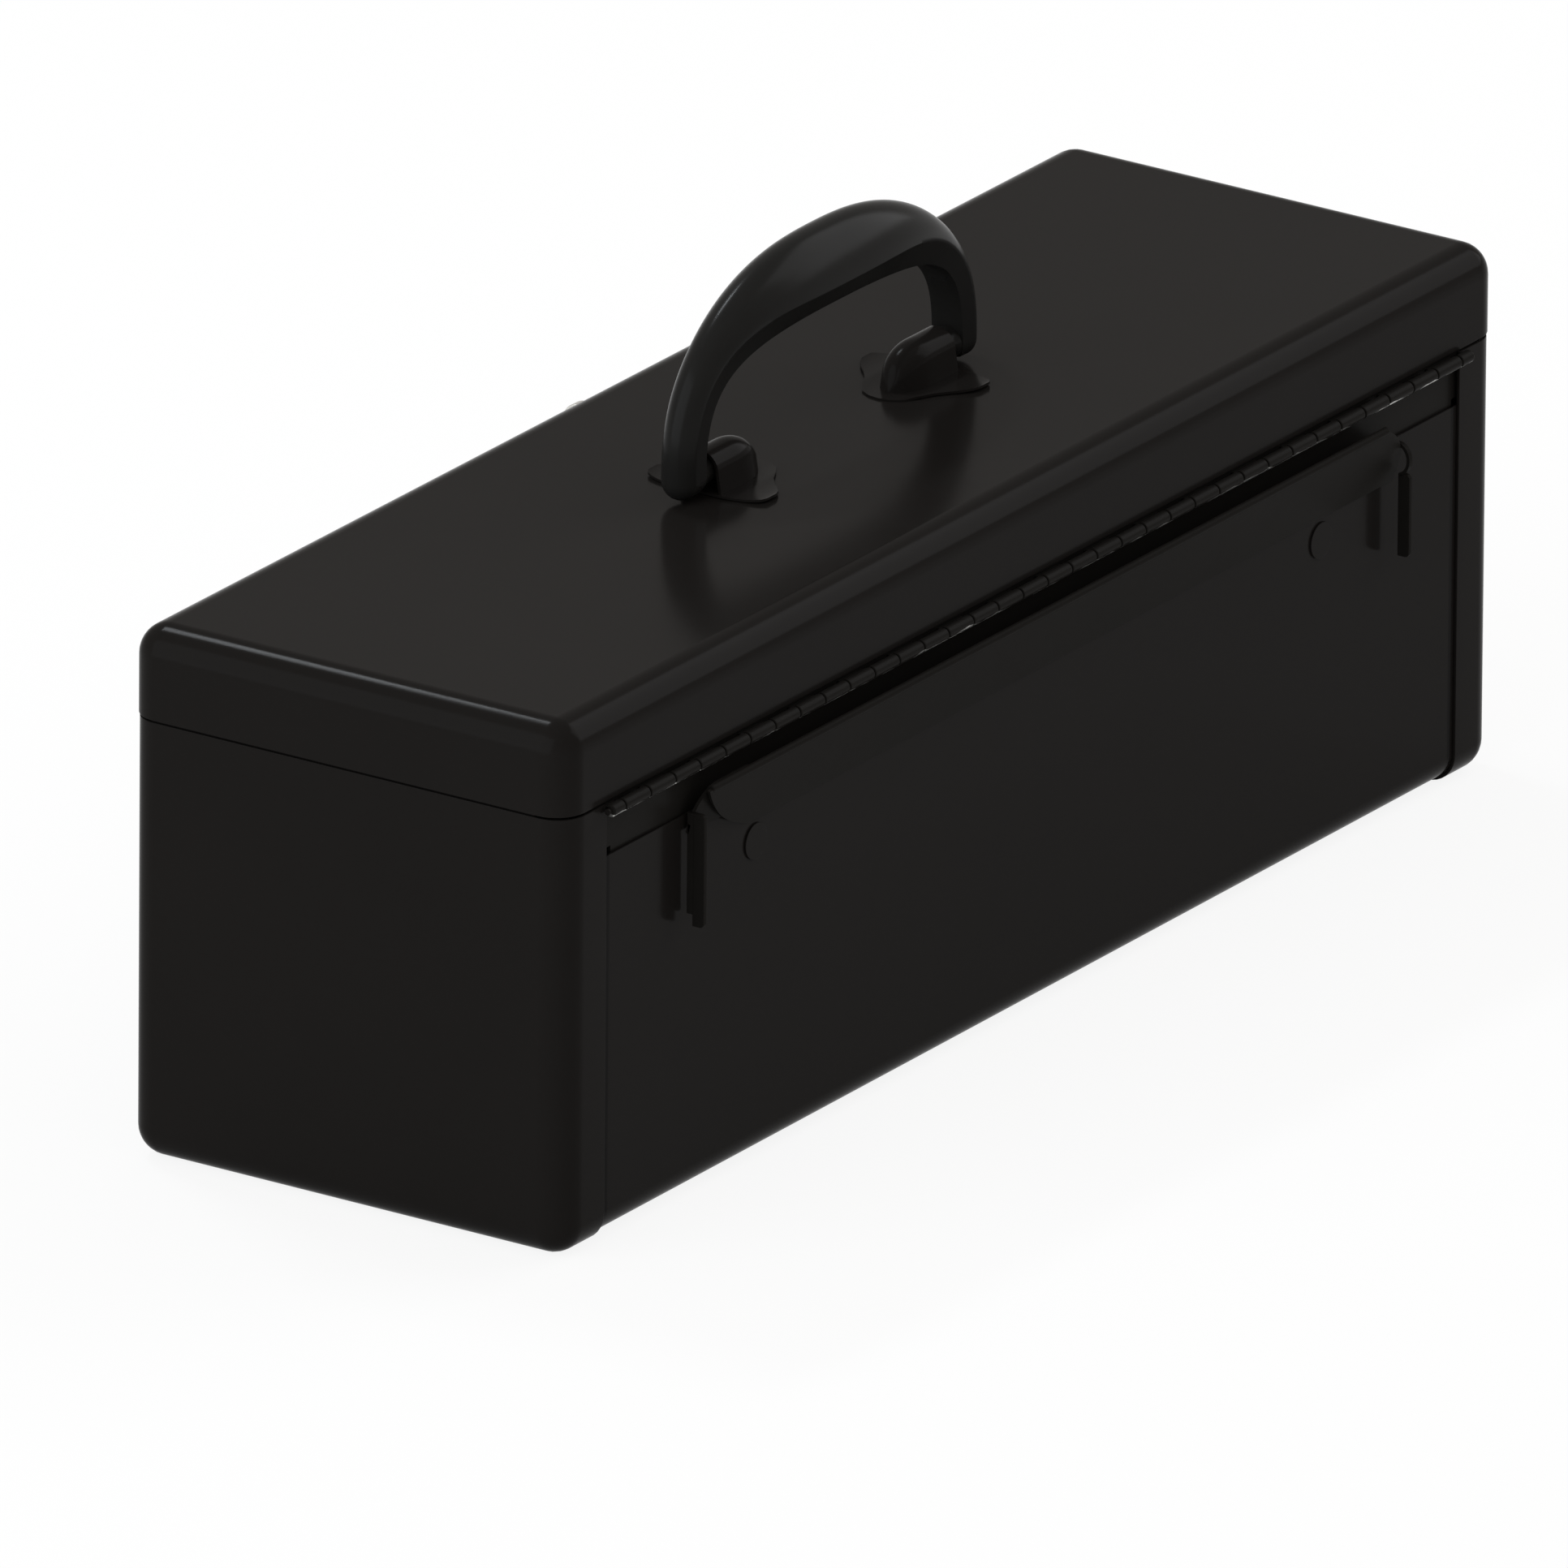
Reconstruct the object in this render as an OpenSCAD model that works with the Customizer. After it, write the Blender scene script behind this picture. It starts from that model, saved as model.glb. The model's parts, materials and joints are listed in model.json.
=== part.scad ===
// Flat-top steel hand toolbox with a lift-out tray.
// Origin: centre of the footprint on the floor. +X right, -Y front, +Z up.

/* [Case] */
// Overall length of the closed box
case_l = 482.6; // [440:0.1:560]
// Overall depth, front to rear
case_d = 150.2; // [142:0.1:180]
// Height of the lid's flat top
case_h = 162; // [160:0.5:185]
// Height of the lid, from its flat top to its lower edge
lid_h = 27.3; // [26:0.1:32]
// Thickness of the case sheet
sheet_t = 1; // [0.8:0.05:1.1]
// Radius of the pressed edges and upright corners
edge_r = 9.5; // [7:0.5:11]
// Depth of an end cap, from its face to its seam
cap_w = 20.8; // [16:0.1:26]
// How far an end cap stands inside the lid's end
cap_inset = 0.5; // [0.4:0.1:1]
// Gap under the closed lid's edge
lid_gap = 0.5; // [0.4:0.1:1]
// Rise of the inner rim above the lid's edge
rim_rise = 7; // [4:0.5:9]
// Reach of the inner rim below the lid's edge
rim_drop = 12; // [8:0.5:16]
// How far below the lid's edge the rear wall ends
rear_drop = 17.3; // [15.5:0.1:19.5]

/* [Hinge] */
// Spacing of the hinge knuckles
knuckle_pitch = 12.7; // [10:0.1:16]
// Outer radius of a knuckle
knuckle_r = 1.9; // [1.7:0.05:2.3]
// Radius of the hinge pin
hinge_pin_r = 1; // [0.8:0.05:1.2]
// Thickness of the hinge leaves
leaf_t = 0.9; // [0.7:0.05:1]
// Height of the upper leaf inside the lid
upper_leaf_h = 16; // [10:0.5:18]
// Length of case left free at each end of the hinge
hinge_margin = 19; // [16:0.5:30]

/* [Lid stop] */
// Distance of the stop's ears from the ends of the case
stop_inset = 58.3; // [56:0.1:90]
// Sideways offset of the stop from the middle of the case
stop_shift = -3; // [-5:0.5:5]
// How far below the lid's edge the stop starts
stop_drop = 30.7; // [28.8:0.1:31.6]
// Height of the stop from its lower edge to its hem
stop_rise = 21.6; // [18:0.1:22]
// How far the hem stands proud of the rear wall
stop_proud = 8; // [6:0.1:9]
// Thickness of the stop's sheet
stop_t = 1.2; // [1:0.1:1.4]
// Length of the slanted cut at each end of the stop
stop_cut = 30; // [20:0.5:34]
// Reach of the ears below the stop's lower edge
ear_drop = 19.5; // [12:0.5:24]
// Width of an ear, measured away from the wall
ear_w = 4; // [3:0.1:5]
// Gap between an ear and the rear wall
ear_gap = 3.4; // [2:0.1:3.8]
// Distance of each flat rivet from the ear at its side
stop_rivet_in = 37; // [37:0.5:60]
// Radius of the flat rivet heads
stop_rivet_r = 5.5; // [4:0.1:5.8]

/* [Handle] */
// Outside width of the carrying handle
handle_w = 150.6; // [140:0.1:156]
// Height of the handle's top above its pivots
handle_h = 54; // [48:0.5:60]
// Height of the pivots above the lid
pivot_h = 6.8; // [6.6:0.1:8]
// Thickness of a handle leg along the box
leg_t = 9; // [8:0.1:11]
// Width of a handle leg across the box
leg_w = 10.4; // [9:0.1:12]
// Thickness of the grip
grip_t = 19; // [16:0.5:22]
// Width of the grip
grip_w = 17.6; // [16:0.1:22]
// Radius of a handle stub
stub_r = 4.3; // [4:0.1:4.6]
// Radius of a handle's pivot pin
handle_pin_r = 3.5; // [3:0.1:3.8]
// Length of a handle bracket's cup
cup_l = 25.5; // [24:0.5:30]
// Half width of a bracket's cup at the lid
cup_foot = 7.4; // [7:0.1:9]
// Gap between a bracket's mouth and the handle leg
cup_gap = 5.3; // [4:0.1:7]
// Thickness of the brackets' plates
bracket_t = 1; // [0.8:0.1:1.2]
// Overall width of a bracket's plate across the box
bracket_d = 40.6; // [36:0.1:44]

/* [Latches] */
// Distance of each latch's middle from the end of the case
latch_inset = 91.3; // [60:0.1:130]
// Width of a latch's base plate
latch_w = 28; // [24:0.5:32]
// How far below the lid's edge the latch pivots are
latch_drop = 17.7; // [16.8:0.1:20]
// Distance of the latch pivots from the front wall
latch_out = 6.5; // [6.2:0.1:8]
// Length of a latch lever below its pivot
lever_l = 30; // [26:0.5:34]
// Thickness of the latch and hasp plates
plate_t = 1.2; // [1:0.1:1.3]
// Radius of the latch and hasp pins
latch_pin_r = 1.5; // [1.2:0.05:1.7]
// Radius of the wire of a latch's bail
bail_r = 1.25; // [1:0.05:1.4]
// Width of a keeper's hook
keeper_w = 20; // [16:0.5:24]
// Opening of a keeper's hook
keeper_gap = 4.8; // [4.4:0.1:5.5]

/* [Hasp] */
// Width of the hasp strap
strap_w = 26; // [22:0.5:28]
// Thickness of the hasp strap
strap_t = 1.5; // [1.2:0.1:1.8]
// How far below the lid's edge the hasp's hinge is
hasp_drop = 8.7; // [7.7:0.1:10.7]
// Radius of the padlock hole in the staple
eye_r = 3.2; // [3:0.1:3.5]
// Rim of metal around the padlock hole
eye_rim = 2.2; // [2:0.1:3]
// Thickness of the staple's eye
eye_t = 4; // [3:0.1:5]

/* [Tray] */
// How far below the lid's edge the tray's rim is
tray_drop = 2.7; // [1.7:0.1:6]
// Height of the tray
tray_h = 34; // [30:0.5:35]
// Thickness of the tray's sheet
tray_t = 0.9; // [0.7:0.05:1]
// Corner radius of the tray
tray_r = 4; // [3:0.1:6]
// Clearance between the tray and the rim at each end
tray_gap_x = 2.3; // [1.5:0.1:4]
// Clearance between the tray and the rim at front and rear
tray_gap_y = 2.5; // [2:0.1:4]
// Distance of each divider from the end of the tray
divider_in = 156.5; // [90:0.5:186]
// Height of the dividers
divider_h = 26; // [16:0.5:26]
// Reach of the folding tray handle from its pivots
tray_bail_l = 26; // [20:0.5:26]
// Radius of the tray handle's wire
tray_bail_r = 2.5; // [2:0.1:2.6]
// Width of the ledges that carry the tray
ledge_w = 12; // [8:0.5:16]
// Length of the ledges, front to rear
ledge_l = 116; // [80:1:120]

/* [Hidden] */
$fn = 64;
eps = 0.02;               // overlap that makes cuts and unions clean
run = 0.05;               // radial clearance of a pin in its bore
side = 0.3;               // side clearance between moving pieces
drill = 0.1;              // clearance of a rivet in its hole

half_l = case_l / 2;
half_d = case_d / 2;
lid_edge_h = case_h - lid_h;         // height of the lid's lower edge
rear_wall_h = lid_edge_h - rear_drop;
cap_x = half_l - cap_inset;          // face of an end cap
seam_x = cap_x - cap_w;              // seam between cap and wrap
wall_y = half_d - sheet_t;           // outer face of the front and rear walls
wall_in = wall_y - sheet_t;          // inner face of the same walls
wrap_x = cap_x - edge_r - side;      // end of the wrap under the caps
body_top = lid_edge_h - lid_gap;     // top edge of caps and front wall
lid_in = case_h - sheet_t;           // underside of the lid's top
rim_in = wall_in - sheet_t;          // inner face of the rim
rim_x = cap_x - 2 * sheet_t;         // inner face of the rim at the ends
rim_r = edge_r - 2 * sheet_t;        // radius of the rim's corners
corner_x = rim_x + sheet_t - rim_r;  // where the rim's corners start, along X
corner_y = rim_r - wall_in;          // and along Y
front = -wall_y;                     // outer face of the front wall
lid_front = -half_d;                 // outer face of the lid's front skirt

knuckle_gap = 0.35;
hinge_off = 0.2;                     // barrel's distance from the rear face
leaf_gap = 0.1;                      // upper leaf's distance from the lid's edge
knuckle_n = 2 * floor((half_l - hinge_margin) / knuckle_pitch) + 1;
hinge_l = knuckle_n * knuckle_pitch;
hinge_y = half_d + knuckle_r + hinge_off;
hinge_z = lid_edge_h - knuckle_r - leaf_gap;
leaf_x = seam_x - side;              // half length of the leaves
leaf_lap = 8;                        // lower leaf's overlap behind the rear wall
pin_out = 0.9;                       // pin's reach past the end knuckles

hem_r = stop_t;                      // radius of the stop's rolled hem
stop_half = half_l - stop_inset;     // half length of the stop
stop_z = lid_edge_h - stop_drop;     // the stop's lower edge
stop_top = stop_z + stop_rise;
stop_out = stop_proud - hem_r;       // hem's centre from the wall
hem_short = 4;                       // hem's distance from the stop's ends
cut_in = 2;                          // end cut's distance from the stop's ends
wing_in = 4;                         // wing's reach past the end cut
wing_rise = 8;                       // wing's distance above the stop's lower edge
wing_r = 12;                         // radius of the wing's corner
tab_w = 14;                          // mounting tab of the stop
tab_drop = 13;
tab_play = 0.05;                     // tab's distance from the wall's inner face
ear_t = 1.6;
ear_r = 1.2;                         // rounding of an ear's lower corner
ear_z = stop_z - ear_drop;
ear_rise = 14.8;                     // ear's reach above the stop's lower edge
ear_top = stop_z + ear_rise;
web_rise = 3.5;                      // web's lower end above the ear's
web_gap = 0.6;                       // web's distance from the rear wall
rivet_tail_r = 3;
rivet_tail_t = 0.8;
flat_head_t = 0.6;
stop_rivet_x = stop_half - stop_rivet_in;
stop_rivet_drop = 6;
stop_rivet_z = stop_z - stop_rivet_drop;

pivot_z = case_h + pivot_h;
leg_x = handle_w / 2 - leg_t;        // inner face of a handle leg
outer_square = 0.85;                 // shape of the handle's outer arch, 1 is an ellipse
inner_square = 0.63;                 // and of its inner arch
cup_x1 = leg_x - cup_gap;            // mouth of a bracket
cup_x0 = cup_x1 - cup_l;             // closed end of a bracket
cup_wall = 1.1;
cup_mouth = 10;                      // depth of the open mouth
stub_in = 6;                         // stub's reach into the mouth
stub_gap = 0.8;                      // room round the stub in the mouth
cup_r = stub_r + stub_gap + cup_wall;    // radius of a cup's crown
cup_back = 6;                        // solid end of a cup behind the pin's bore
pin_gap = 2;                         // gap behind the pin's end
foot_w = 11;                         // length of a bracket's side ears
plate_rim = 1.2;                     // plate's reach past the cup's sides
plate_reach = 1.3;                   // and past its ends

latch_x = half_l - latch_inset;
latch_z = lid_edge_h - latch_drop;
latch_y = front - latch_out;
ear_plate_t = 1.2;
latch_ear_r = 3.5;
hub_r = 3;
lever_w = latch_w - 2 * ear_plate_t - 2 * side;
lever_t = 1.5;
lever_lip = 3;
lug_t = 2;                           // thickness of the lever's bail lugs
bail_z = latch_z - 10;               // bail's pivot on the lever
bail_gap = 1.5;                      // bail's distance from the base's sides
bail_x = latch_w / 2 + bail_gap + bail_r;    // half width of a bail, to its wire's centre
bail_bend = 3;                       // bend of a bail at each of its corners
pin_head_r = 2.3;
pin_head_t = 0.7;
pin_head_gap = 0.1;                  // play of a pin between its heads
base_h = 32;
base_rise = 5;                       // base plate's reach above the pivot
base_z = latch_z + base_rise - base_h;
rivet_r = 1.6;
head_r = 2.6;
head_t = 1.1;
base_rivet_x = 8;                    // half spacing of a base's rivets
latch_rivet_z = base_z + 10;
keeper_up = 2;                       // keeper's distance above the lid's edge
keeper_z = lid_edge_h + keeper_up;
keeper_h = 14;
keeper_side = 2;                     // keeper plate's reach past its hook
keeper_lip = 4.8;
hook_z = keeper_z + 1;               // underside of a keeper's hook
bail_l = hook_z + lever_t + bail_r - bail_z;     // bail that just reaches the hook
keeper_rivet_x = 7;                  // half spacing of a keeper's rivets
keeper_rivet_z = keeper_z + keeper_h - 3;

hasp_z = lid_edge_h - hasp_drop;
hasp_r = 2.5;                        // radius of the hasp's barrel
hasp_y = front - plate_t - hasp_r - run;
hasp_w = 40;
hasp_h = 22.9;
hasp_barrel = hasp_w - 10;           // length of the whole barrel
hasp_knuckle = 10;                   // and of the strap's part of it
eye_out = eye_r + eye_rim;           // outer radius of the staple's eye
eye_rise = 21.4;                     // padlock hole's height above the hasp's hinge
eye_z = hasp_z + eye_rise;
eye_play = 0.2;                      // padlock hole's distance from the strap
strap_shut = lid_front - plate_t - side - strap_t / 2;   // middle of the closed strap
strap_y = 2 * hasp_y - strap_shut;   // middle of the hanging strap
eye_y = strap_shut - strap_t / 2 - eye_play - eye_r;     // centre of the padlock hole
slot_c = 1.1;                        // clearance of the slot round the eye
slot_near = eye_z - eye_out - hasp_z - slot_c;
slot_far = norm([eye_y - hasp_y, eye_z - hasp_z]) + eye_out + slot_c;
slot_w = eye_t + 2.5;
strap_end = 4.3;                     // strap's metal past its slot
strap_l = slot_far + strap_end;
strap_r = 4;                         // rounding of the strap's end
strap_gap = 0.5;                     // wide part's distance below the barrel
hasp_rivet_x = 16.5;
hasp_rivet_z = hasp_z - 14;
staple_h = 13.8;
staple_skirt = 2.8;                  // staple plate's reach below the eye
staple_z = eye_z - eye_out - staple_skirt;

tray_z = lid_edge_h - tray_drop - tray_h;    // height of the ledges that carry the tray
tray_x = rim_x - tray_gap_x;         // half length of the tray
tray_y = rim_in - tray_gap_y;        // half depth of the tray
divider_x = tray_x - divider_in;
divider_foot = 8;                    // width of a divider's foot
hem_h = 5;                           // height of the tray's hem
tray_bail_z = tray_z + tray_h - hem_h;
boss_r = 5;
boss_l = 2;
tray_bail_bend = 3;                  // bend of the tray handle at its pivots
tray_bail_corner = 6;                // and at its grip
tray_bail_y = tray_y - tray_t - boss_l - side - tray_bail_bend;
rest_l = 5;                          // lug on which the folded handle lies
rest_t = 1;
ledge_drop = 12;

paint = [0.035, 0.034, 0.033];
grip_black = [0.05, 0.05, 0.05];
nickel = [0.75, 0.74, 0.71];
tray_grey = [0.16, 0.16, 0.16];

// ---------- helpers ----------

// Box between two values on each axis.
module block(x, y, z) {
    translate([x[0], y[0], z[0]])
        cube([x[1] - x[0], y[1] - y[0], z[1] - z[0]]);
}

// Round bar along X between two values, at a given Y and Z.
module rod_x(x, y, z, r) {
    translate([x[0], y, z]) rotate([0, 90, 0]) cylinder(h = x[1] - x[0], r = r);
}

// Round bar along Y between two values, at a given X and Z.
module rod_y(y, x, z, r) {
    translate([x, y[1], z]) rotate([90, 0, 0]) cylinder(h = y[1] - y[0], r = r);
}

// Prism along X of an outline drawn in Y and Z.
module along_x(x) {
    translate([x[0], 0, 0]) rotate([90, 0, 90]) linear_extrude(x[1] - x[0]) children();
}

// Prism along Y of an outline drawn in X and Z.
module along_y(y) {
    translate([0, y[1], 0]) rotate([90, 0, 0]) linear_extrude(y[1] - y[0]) children();
}

// Rectangle with rounded lower corners, standing on zero.
module pan_outline(w, h, r) {
    translate([-w / 2, r]) square([w, h - r]);
    translate([r - w / 2, 0]) square([w - 2 * r, r + eps]);
    for (s = [-1, 1]) translate([s * (w / 2 - r), r]) circle(r);
}

// Solid with rounded lower edges and upright corners and a flat top.
module pan_solid(l, d, h, r) {
    along_x([r - l / 2, l / 2 - r]) pan_outline(d, h, r);
    along_y([r - d / 2, d / 2 - r]) pan_outline(l, h, r);
    for (x = [-1, 1], y = [-1, 1])
        translate([x * (l / 2 - r), y * (d / 2 - r), 0]) rotate_extrude() {
            translate([0, r]) square([r, h - r]);
            intersection() {
                translate([0, r]) circle(r);
                square([r, r + eps]);
            }
        }
}

// Pressed pan of sheet steel, open at the top.
module pan_shell(l, d, h, r, t) {
    difference() {
        pan_solid(l, d, h, r);
        translate([0, 0, t]) pan_solid(l - 2 * t, d - 2 * t, h, r - t);
    }
}

// Quarter ring of wire round the origin, from the +X side to the +Y side.
module quarter(r, bend_r) {
    rotate_extrude(angle = 90) translate([bend_r, 0]) circle(r);
}

// Wire bail pivoted on the Y axis and lying along +X. Its pivot ends turn out (1) or in (-1).
module bail(half_w, length, end_y, turn, r, pivot_bend, corner_bend) {
    for (s = [0, 1]) mirror([0, s, 0]) {
        stub_y = half_w + turn * pivot_bend;
        rod_y([min(stub_y, end_y), max(stub_y, end_y)], 0, 0, r);
        translate([pivot_bend, stub_y, 0]) rotate([0, 0, turn > 0 ? 180 : 90]) quarter(r, pivot_bend);
        rod_x([pivot_bend, length - corner_bend], half_w, 0, r);
        translate([length - corner_bend, half_w - corner_bend, 0]) quarter(r, corner_bend);
    }
    rod_y([corner_bend - half_w, half_w - corner_bend], length, 0, r);
}

// Domed rivet along -Y through a wall, with its tail inside.
module rivet(x, z, outer, inner) {
    translate([x, outer, z]) rotate([90, 0, 0]) cylinder(h = head_t, r1 = head_r, r2 = head_r / 2);
    rod_y([outer - eps, inner], x, z, rivet_r);
    rod_y([inner, inner + rivet_tail_t], x, z, head_r * 0.8);
}

// Holes for a row of such rivets.
module rivet_holes(places, y) {
    for (p = places) rod_y(y, p[0], p[1], rivet_r + drill);
}

// Rivet places of the body's front and of the lid's front.
front_places = [
    for (s = [-1, 1], d = [-base_rivet_x, base_rivet_x]) [s * latch_x + d, latch_rivet_z],
    for (s = [-1, 1]) [s * hasp_rivet_x, hasp_rivet_z]
];
lid_places = [
    for (s = [-1, 1], d = [-keeper_rivet_x, keeper_rivet_x]) [s * latch_x + d, keeper_rivet_z],
    for (s = [-1, 1]) [s * hasp_rivet_x, eye_z]
];

// ---------- case ----------

module body_wrap() {
    wall_h = body_top - sheet_t;
    color(paint) difference() {
        translate([0, 0, sheet_t]) along_x([-wrap_x, wrap_x]) difference() {
            pan_outline(2 * wall_y, wall_h, edge_r - sheet_t);
            translate([0, sheet_t]) pan_outline(2 * wall_in, wall_h, edge_r - 2 * sheet_t);
        }
        // the rear wall ends below the hinge leaf
        block([-half_l, half_l], [0, half_d], [rear_wall_h, case_h]);
        // slots for the stop's tabs, and its rivets' holes
        for (s = [-1, 1]) {
            x = stop_shift + s * stop_rivet_x;
            block([x - tab_w / 2 - drill, x + tab_w / 2 + drill], [wall_in - eps, wall_y + eps],
                  [stop_z - drill, stop_z + tab_slot_h() + drill]);
            rod_y([wall_in - eps, wall_y + eps], x, stop_rivet_z, rivet_tail_r / 2 + drill);
        }
        rivet_holes(front_places, [front - eps, -wall_in + eps]);
    }
}

module end_cap(s) {
    color(paint) intersection() {
        pan_shell(2 * cap_x, case_d, body_top, edge_r, sheet_t);
        block(s > 0 ? [seam_x, half_l] : [-half_l, -seam_x], [-half_d, half_d], [0, case_h]);
    }
}
module end_cap_left() { end_cap(-1); }
module end_cap_right() { end_cap(1); }

// Part of the upright rim, between two values along X and along Y. The rim is
// welded inside the ends and the front, and the lid closes over it.
module rim_part(x, y) {
    color(paint) translate([0, 0, lid_edge_h - rim_drop]) linear_extrude(rim_drop + rim_rise)
        intersection() {
            difference() {
                rim_plan(rim_x + sheet_t, wall_in, rim_r);
                rim_plan(rim_x, wall_in - sheet_t, rim_r - sheet_t);
            }
            translate([x[0], y[0]]) square([x[1] - x[0], y[1] - y[0]]);
        }
}
module rim_front() { rim_part([-corner_x, corner_x], [-half_d, corner_y]); }
module rim_left() { rim_part([-half_l, -corner_x], [corner_y, wall_in - edge_r]); }
module rim_right() { rim_part([corner_x, half_l], [corner_y, wall_in - edge_r]); }
module rim_corner_left() { rim_part([-half_l, -corner_x], [-half_d, corner_y]); }
module rim_corner_right() { rim_part([corner_x, half_l], [-half_d, corner_y]); }

// Plan outline of half size x by y with rounded corners.
module rim_plan(x, y, r) {
    square([2 * x - 2 * r, 2 * y], center = true);
    square([2 * x, 2 * y - 2 * r], center = true);
    for (i = [-1, 1], j = [-1, 1]) translate([i * (x - r), j * (y - r)]) circle(r);
}

module tray_ledge(s) {
    x = cap_x - sheet_t;
    color(paint) mirror([s < 0 ? 1 : 0, 0, 0]) {
        block([x - ledge_w, x], [-ledge_l / 2, ledge_l / 2], [tray_z - sheet_t, tray_z]);
        block([x - sheet_t, x], [-ledge_l / 2, ledge_l / 2], [tray_z - ledge_drop, tray_z]);
    }
}
module tray_ledge_left() { tray_ledge(-1); }
module tray_ledge_right() { tray_ledge(1); }

// ---------- piano hinge ----------

// Knuckles of one leaf with their webs and the leaf's plate.
module hinge_leaf(first, web_z, plate_y, plate_z) {
    difference() {
        union() {
            for (i = [first : 2 : knuckle_n - 1]) {
                x0 = (i - knuckle_n / 2) * knuckle_pitch + knuckle_gap / 2;
                x1 = x0 + knuckle_pitch - knuckle_gap;
                rod_x([x0, x1], hinge_y, hinge_z, knuckle_r);
                block([max(x0, -leaf_x), min(x1, leaf_x)], [plate_y, hinge_y],
                      [web_z, web_z + leaf_t]);
            }
            block([-leaf_x, leaf_x], [plate_y, plate_y + leaf_t], plate_z);
        }
        rod_x([-hinge_l, hinge_l], hinge_y, hinge_z, hinge_pin_r + run);
    }
}

module hinge_leaf_lower() {
    web_z = hinge_z - knuckle_r;
    color(paint) hinge_leaf(0, web_z, wall_in - leaf_t, [rear_wall_h - leaf_lap, web_z + leaf_t]);
}

module hinge_leaf_upper() {
    web_z = hinge_z + knuckle_r - leaf_t;
    color(paint) hinge_leaf(1, web_z, wall_y - leaf_t, [web_z, web_z + upper_leaf_h]);
}

module hinge_pin() {
    x = hinge_l / 2 + pin_out;
    color(paint) rod_x([-x, x], hinge_y, hinge_z, hinge_pin_r);
}

// ---------- lid stop on the rear wall ----------

// Height over which the slanted sheet meets the wall.
function tab_slot_h() = stop_t * norm([stop_out, stop_rise]) / stop_out;

// Slanted section of the stop, from the wall up to its hem, set back by a distance.
module stop_section(back) {
    w = tab_slot_h();
    translate([wall_y - back, 0])
        polygon([[0, stop_z], [stop_out + hem_r / 2, stop_top], [stop_out - hem_r / 2, stop_top],
                 [0, stop_z + w]]);
}

// Rise of the slanted end cut, from 0 to 1, at a share of its length.
function cut_rise(t) = 0.55 * t + 0.45 * t * t * t;

// Front view of the stop: full length at the hem, shorter at the wall.
module stop_front() {
    steps = 16;
    end = stop_half - cut_in;
    right = [for (i = [0 : steps]) let (t = i / steps)
        [end - stop_cut + stop_cut * t, stop_z + (stop_rise + 2 * hem_r) * cut_rise(t)]];
    left = [for (i = [steps : -1 : 0]) [-right[i][0], right[i][1]]];
    polygon(concat(right, left));
}

// Front view of a wing that joins an ear to the stop, with one rounded corner.
module wing_front() {
    x0 = stop_half - stop_cut + wing_in;
    z0 = stop_z + wing_rise;
    translate([x0, z0]) square([stop_half - x0 - wing_r, stop_top - z0]);
    translate([x0, z0]) square([stop_half - x0, stop_top - z0 - wing_r]);
    translate([stop_half - wing_r, stop_top - wing_r]) circle(wing_r);
}

module stop_ear() {
    x = [stop_half - ear_t, stop_half];
    y0 = wall_y + ear_gap;
    block(x, [y0, y0 + ear_w], [ear_z + ear_r, ear_top]);
    block(x, [y0, y0 + ear_w - ear_r], [ear_z, ear_z + ear_r + eps]);
    rod_x(x, y0 + ear_w - ear_r, ear_z + ear_r, ear_r);
}

module lid_stop() {
    color(paint) translate([stop_shift, 0, 0]) difference() {
        union() {
            intersection() {
                along_x([-stop_half, stop_half]) stop_section(0);
                along_y([wall_y, wall_y + 2 * stop_proud]) stop_front();
            }
            rod_x([hem_short - stop_half, stop_half - hem_short], wall_y + stop_out, stop_top, hem_r);
            for (s = [0, 1]) mirror([s, 0, 0]) {
                intersection() {
                    along_x([0, stop_half]) stop_section(stop_t);
                    along_y([wall_y, wall_y + 2 * stop_proud]) wing_front();
                }
                stop_ear();
                // tab through the wall, turned down flat inside
                x = [stop_rivet_x - tab_w / 2, stop_rivet_x + tab_w / 2];
                tab = wall_in - tab_play;
                block(x, [tab - stop_t, wall_y + eps], [stop_z, stop_z + tab_slot_h()]);
                block(x, [tab - stop_t, tab], [stop_z - tab_drop, stop_z + eps]);
            }
            // stiffening web behind the ear on the right
            block([stop_half - ear_t, stop_half - eps], [wall_y + web_gap, wall_y + ear_gap + eps],
                  [ear_z + web_rise, ear_top]);
        }
        for (s = [-1, 1])
            rod_y([wall_in - 2 * stop_t, wall_y], s * stop_rivet_x, stop_rivet_z,
                  rivet_tail_r / 2 + drill);
    }
}

module stop_rivets() {
    inner = wall_in - tab_play - stop_t;
    color(paint) for (s = [-1, 1]) {
        x = stop_shift + s * stop_rivet_x;
        rod_y([wall_y, wall_y + flat_head_t], x, stop_rivet_z, stop_rivet_r);
        rod_y([inner - eps, wall_y + eps], x, stop_rivet_z, rivet_tail_r / 2);
        rod_y([inner - rivet_tail_t, inner], x, stop_rivet_z, rivet_tail_r);
    }
}

// ---------- lid ----------

module lid_shell() {
    color(paint) difference() {
        translate([0, 0, case_h]) mirror([0, 0, 1])
            pan_shell(case_l, case_d, case_h - lid_edge_h, edge_r, sheet_t);
        rivet_holes(lid_places, [lid_front - eps, lid_front + sheet_t + eps]);
    }
}

// ---------- carrying handle ----------

// Section of a bracket's cup: a round crown on splayed feet.
module cup_section(crown, foot) {
    translate([0, pivot_z]) circle(crown);
    polygon([[-foot, case_h], [foot, case_h], [crown, pivot_z], [-crown, pivot_z]]);
}

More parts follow.
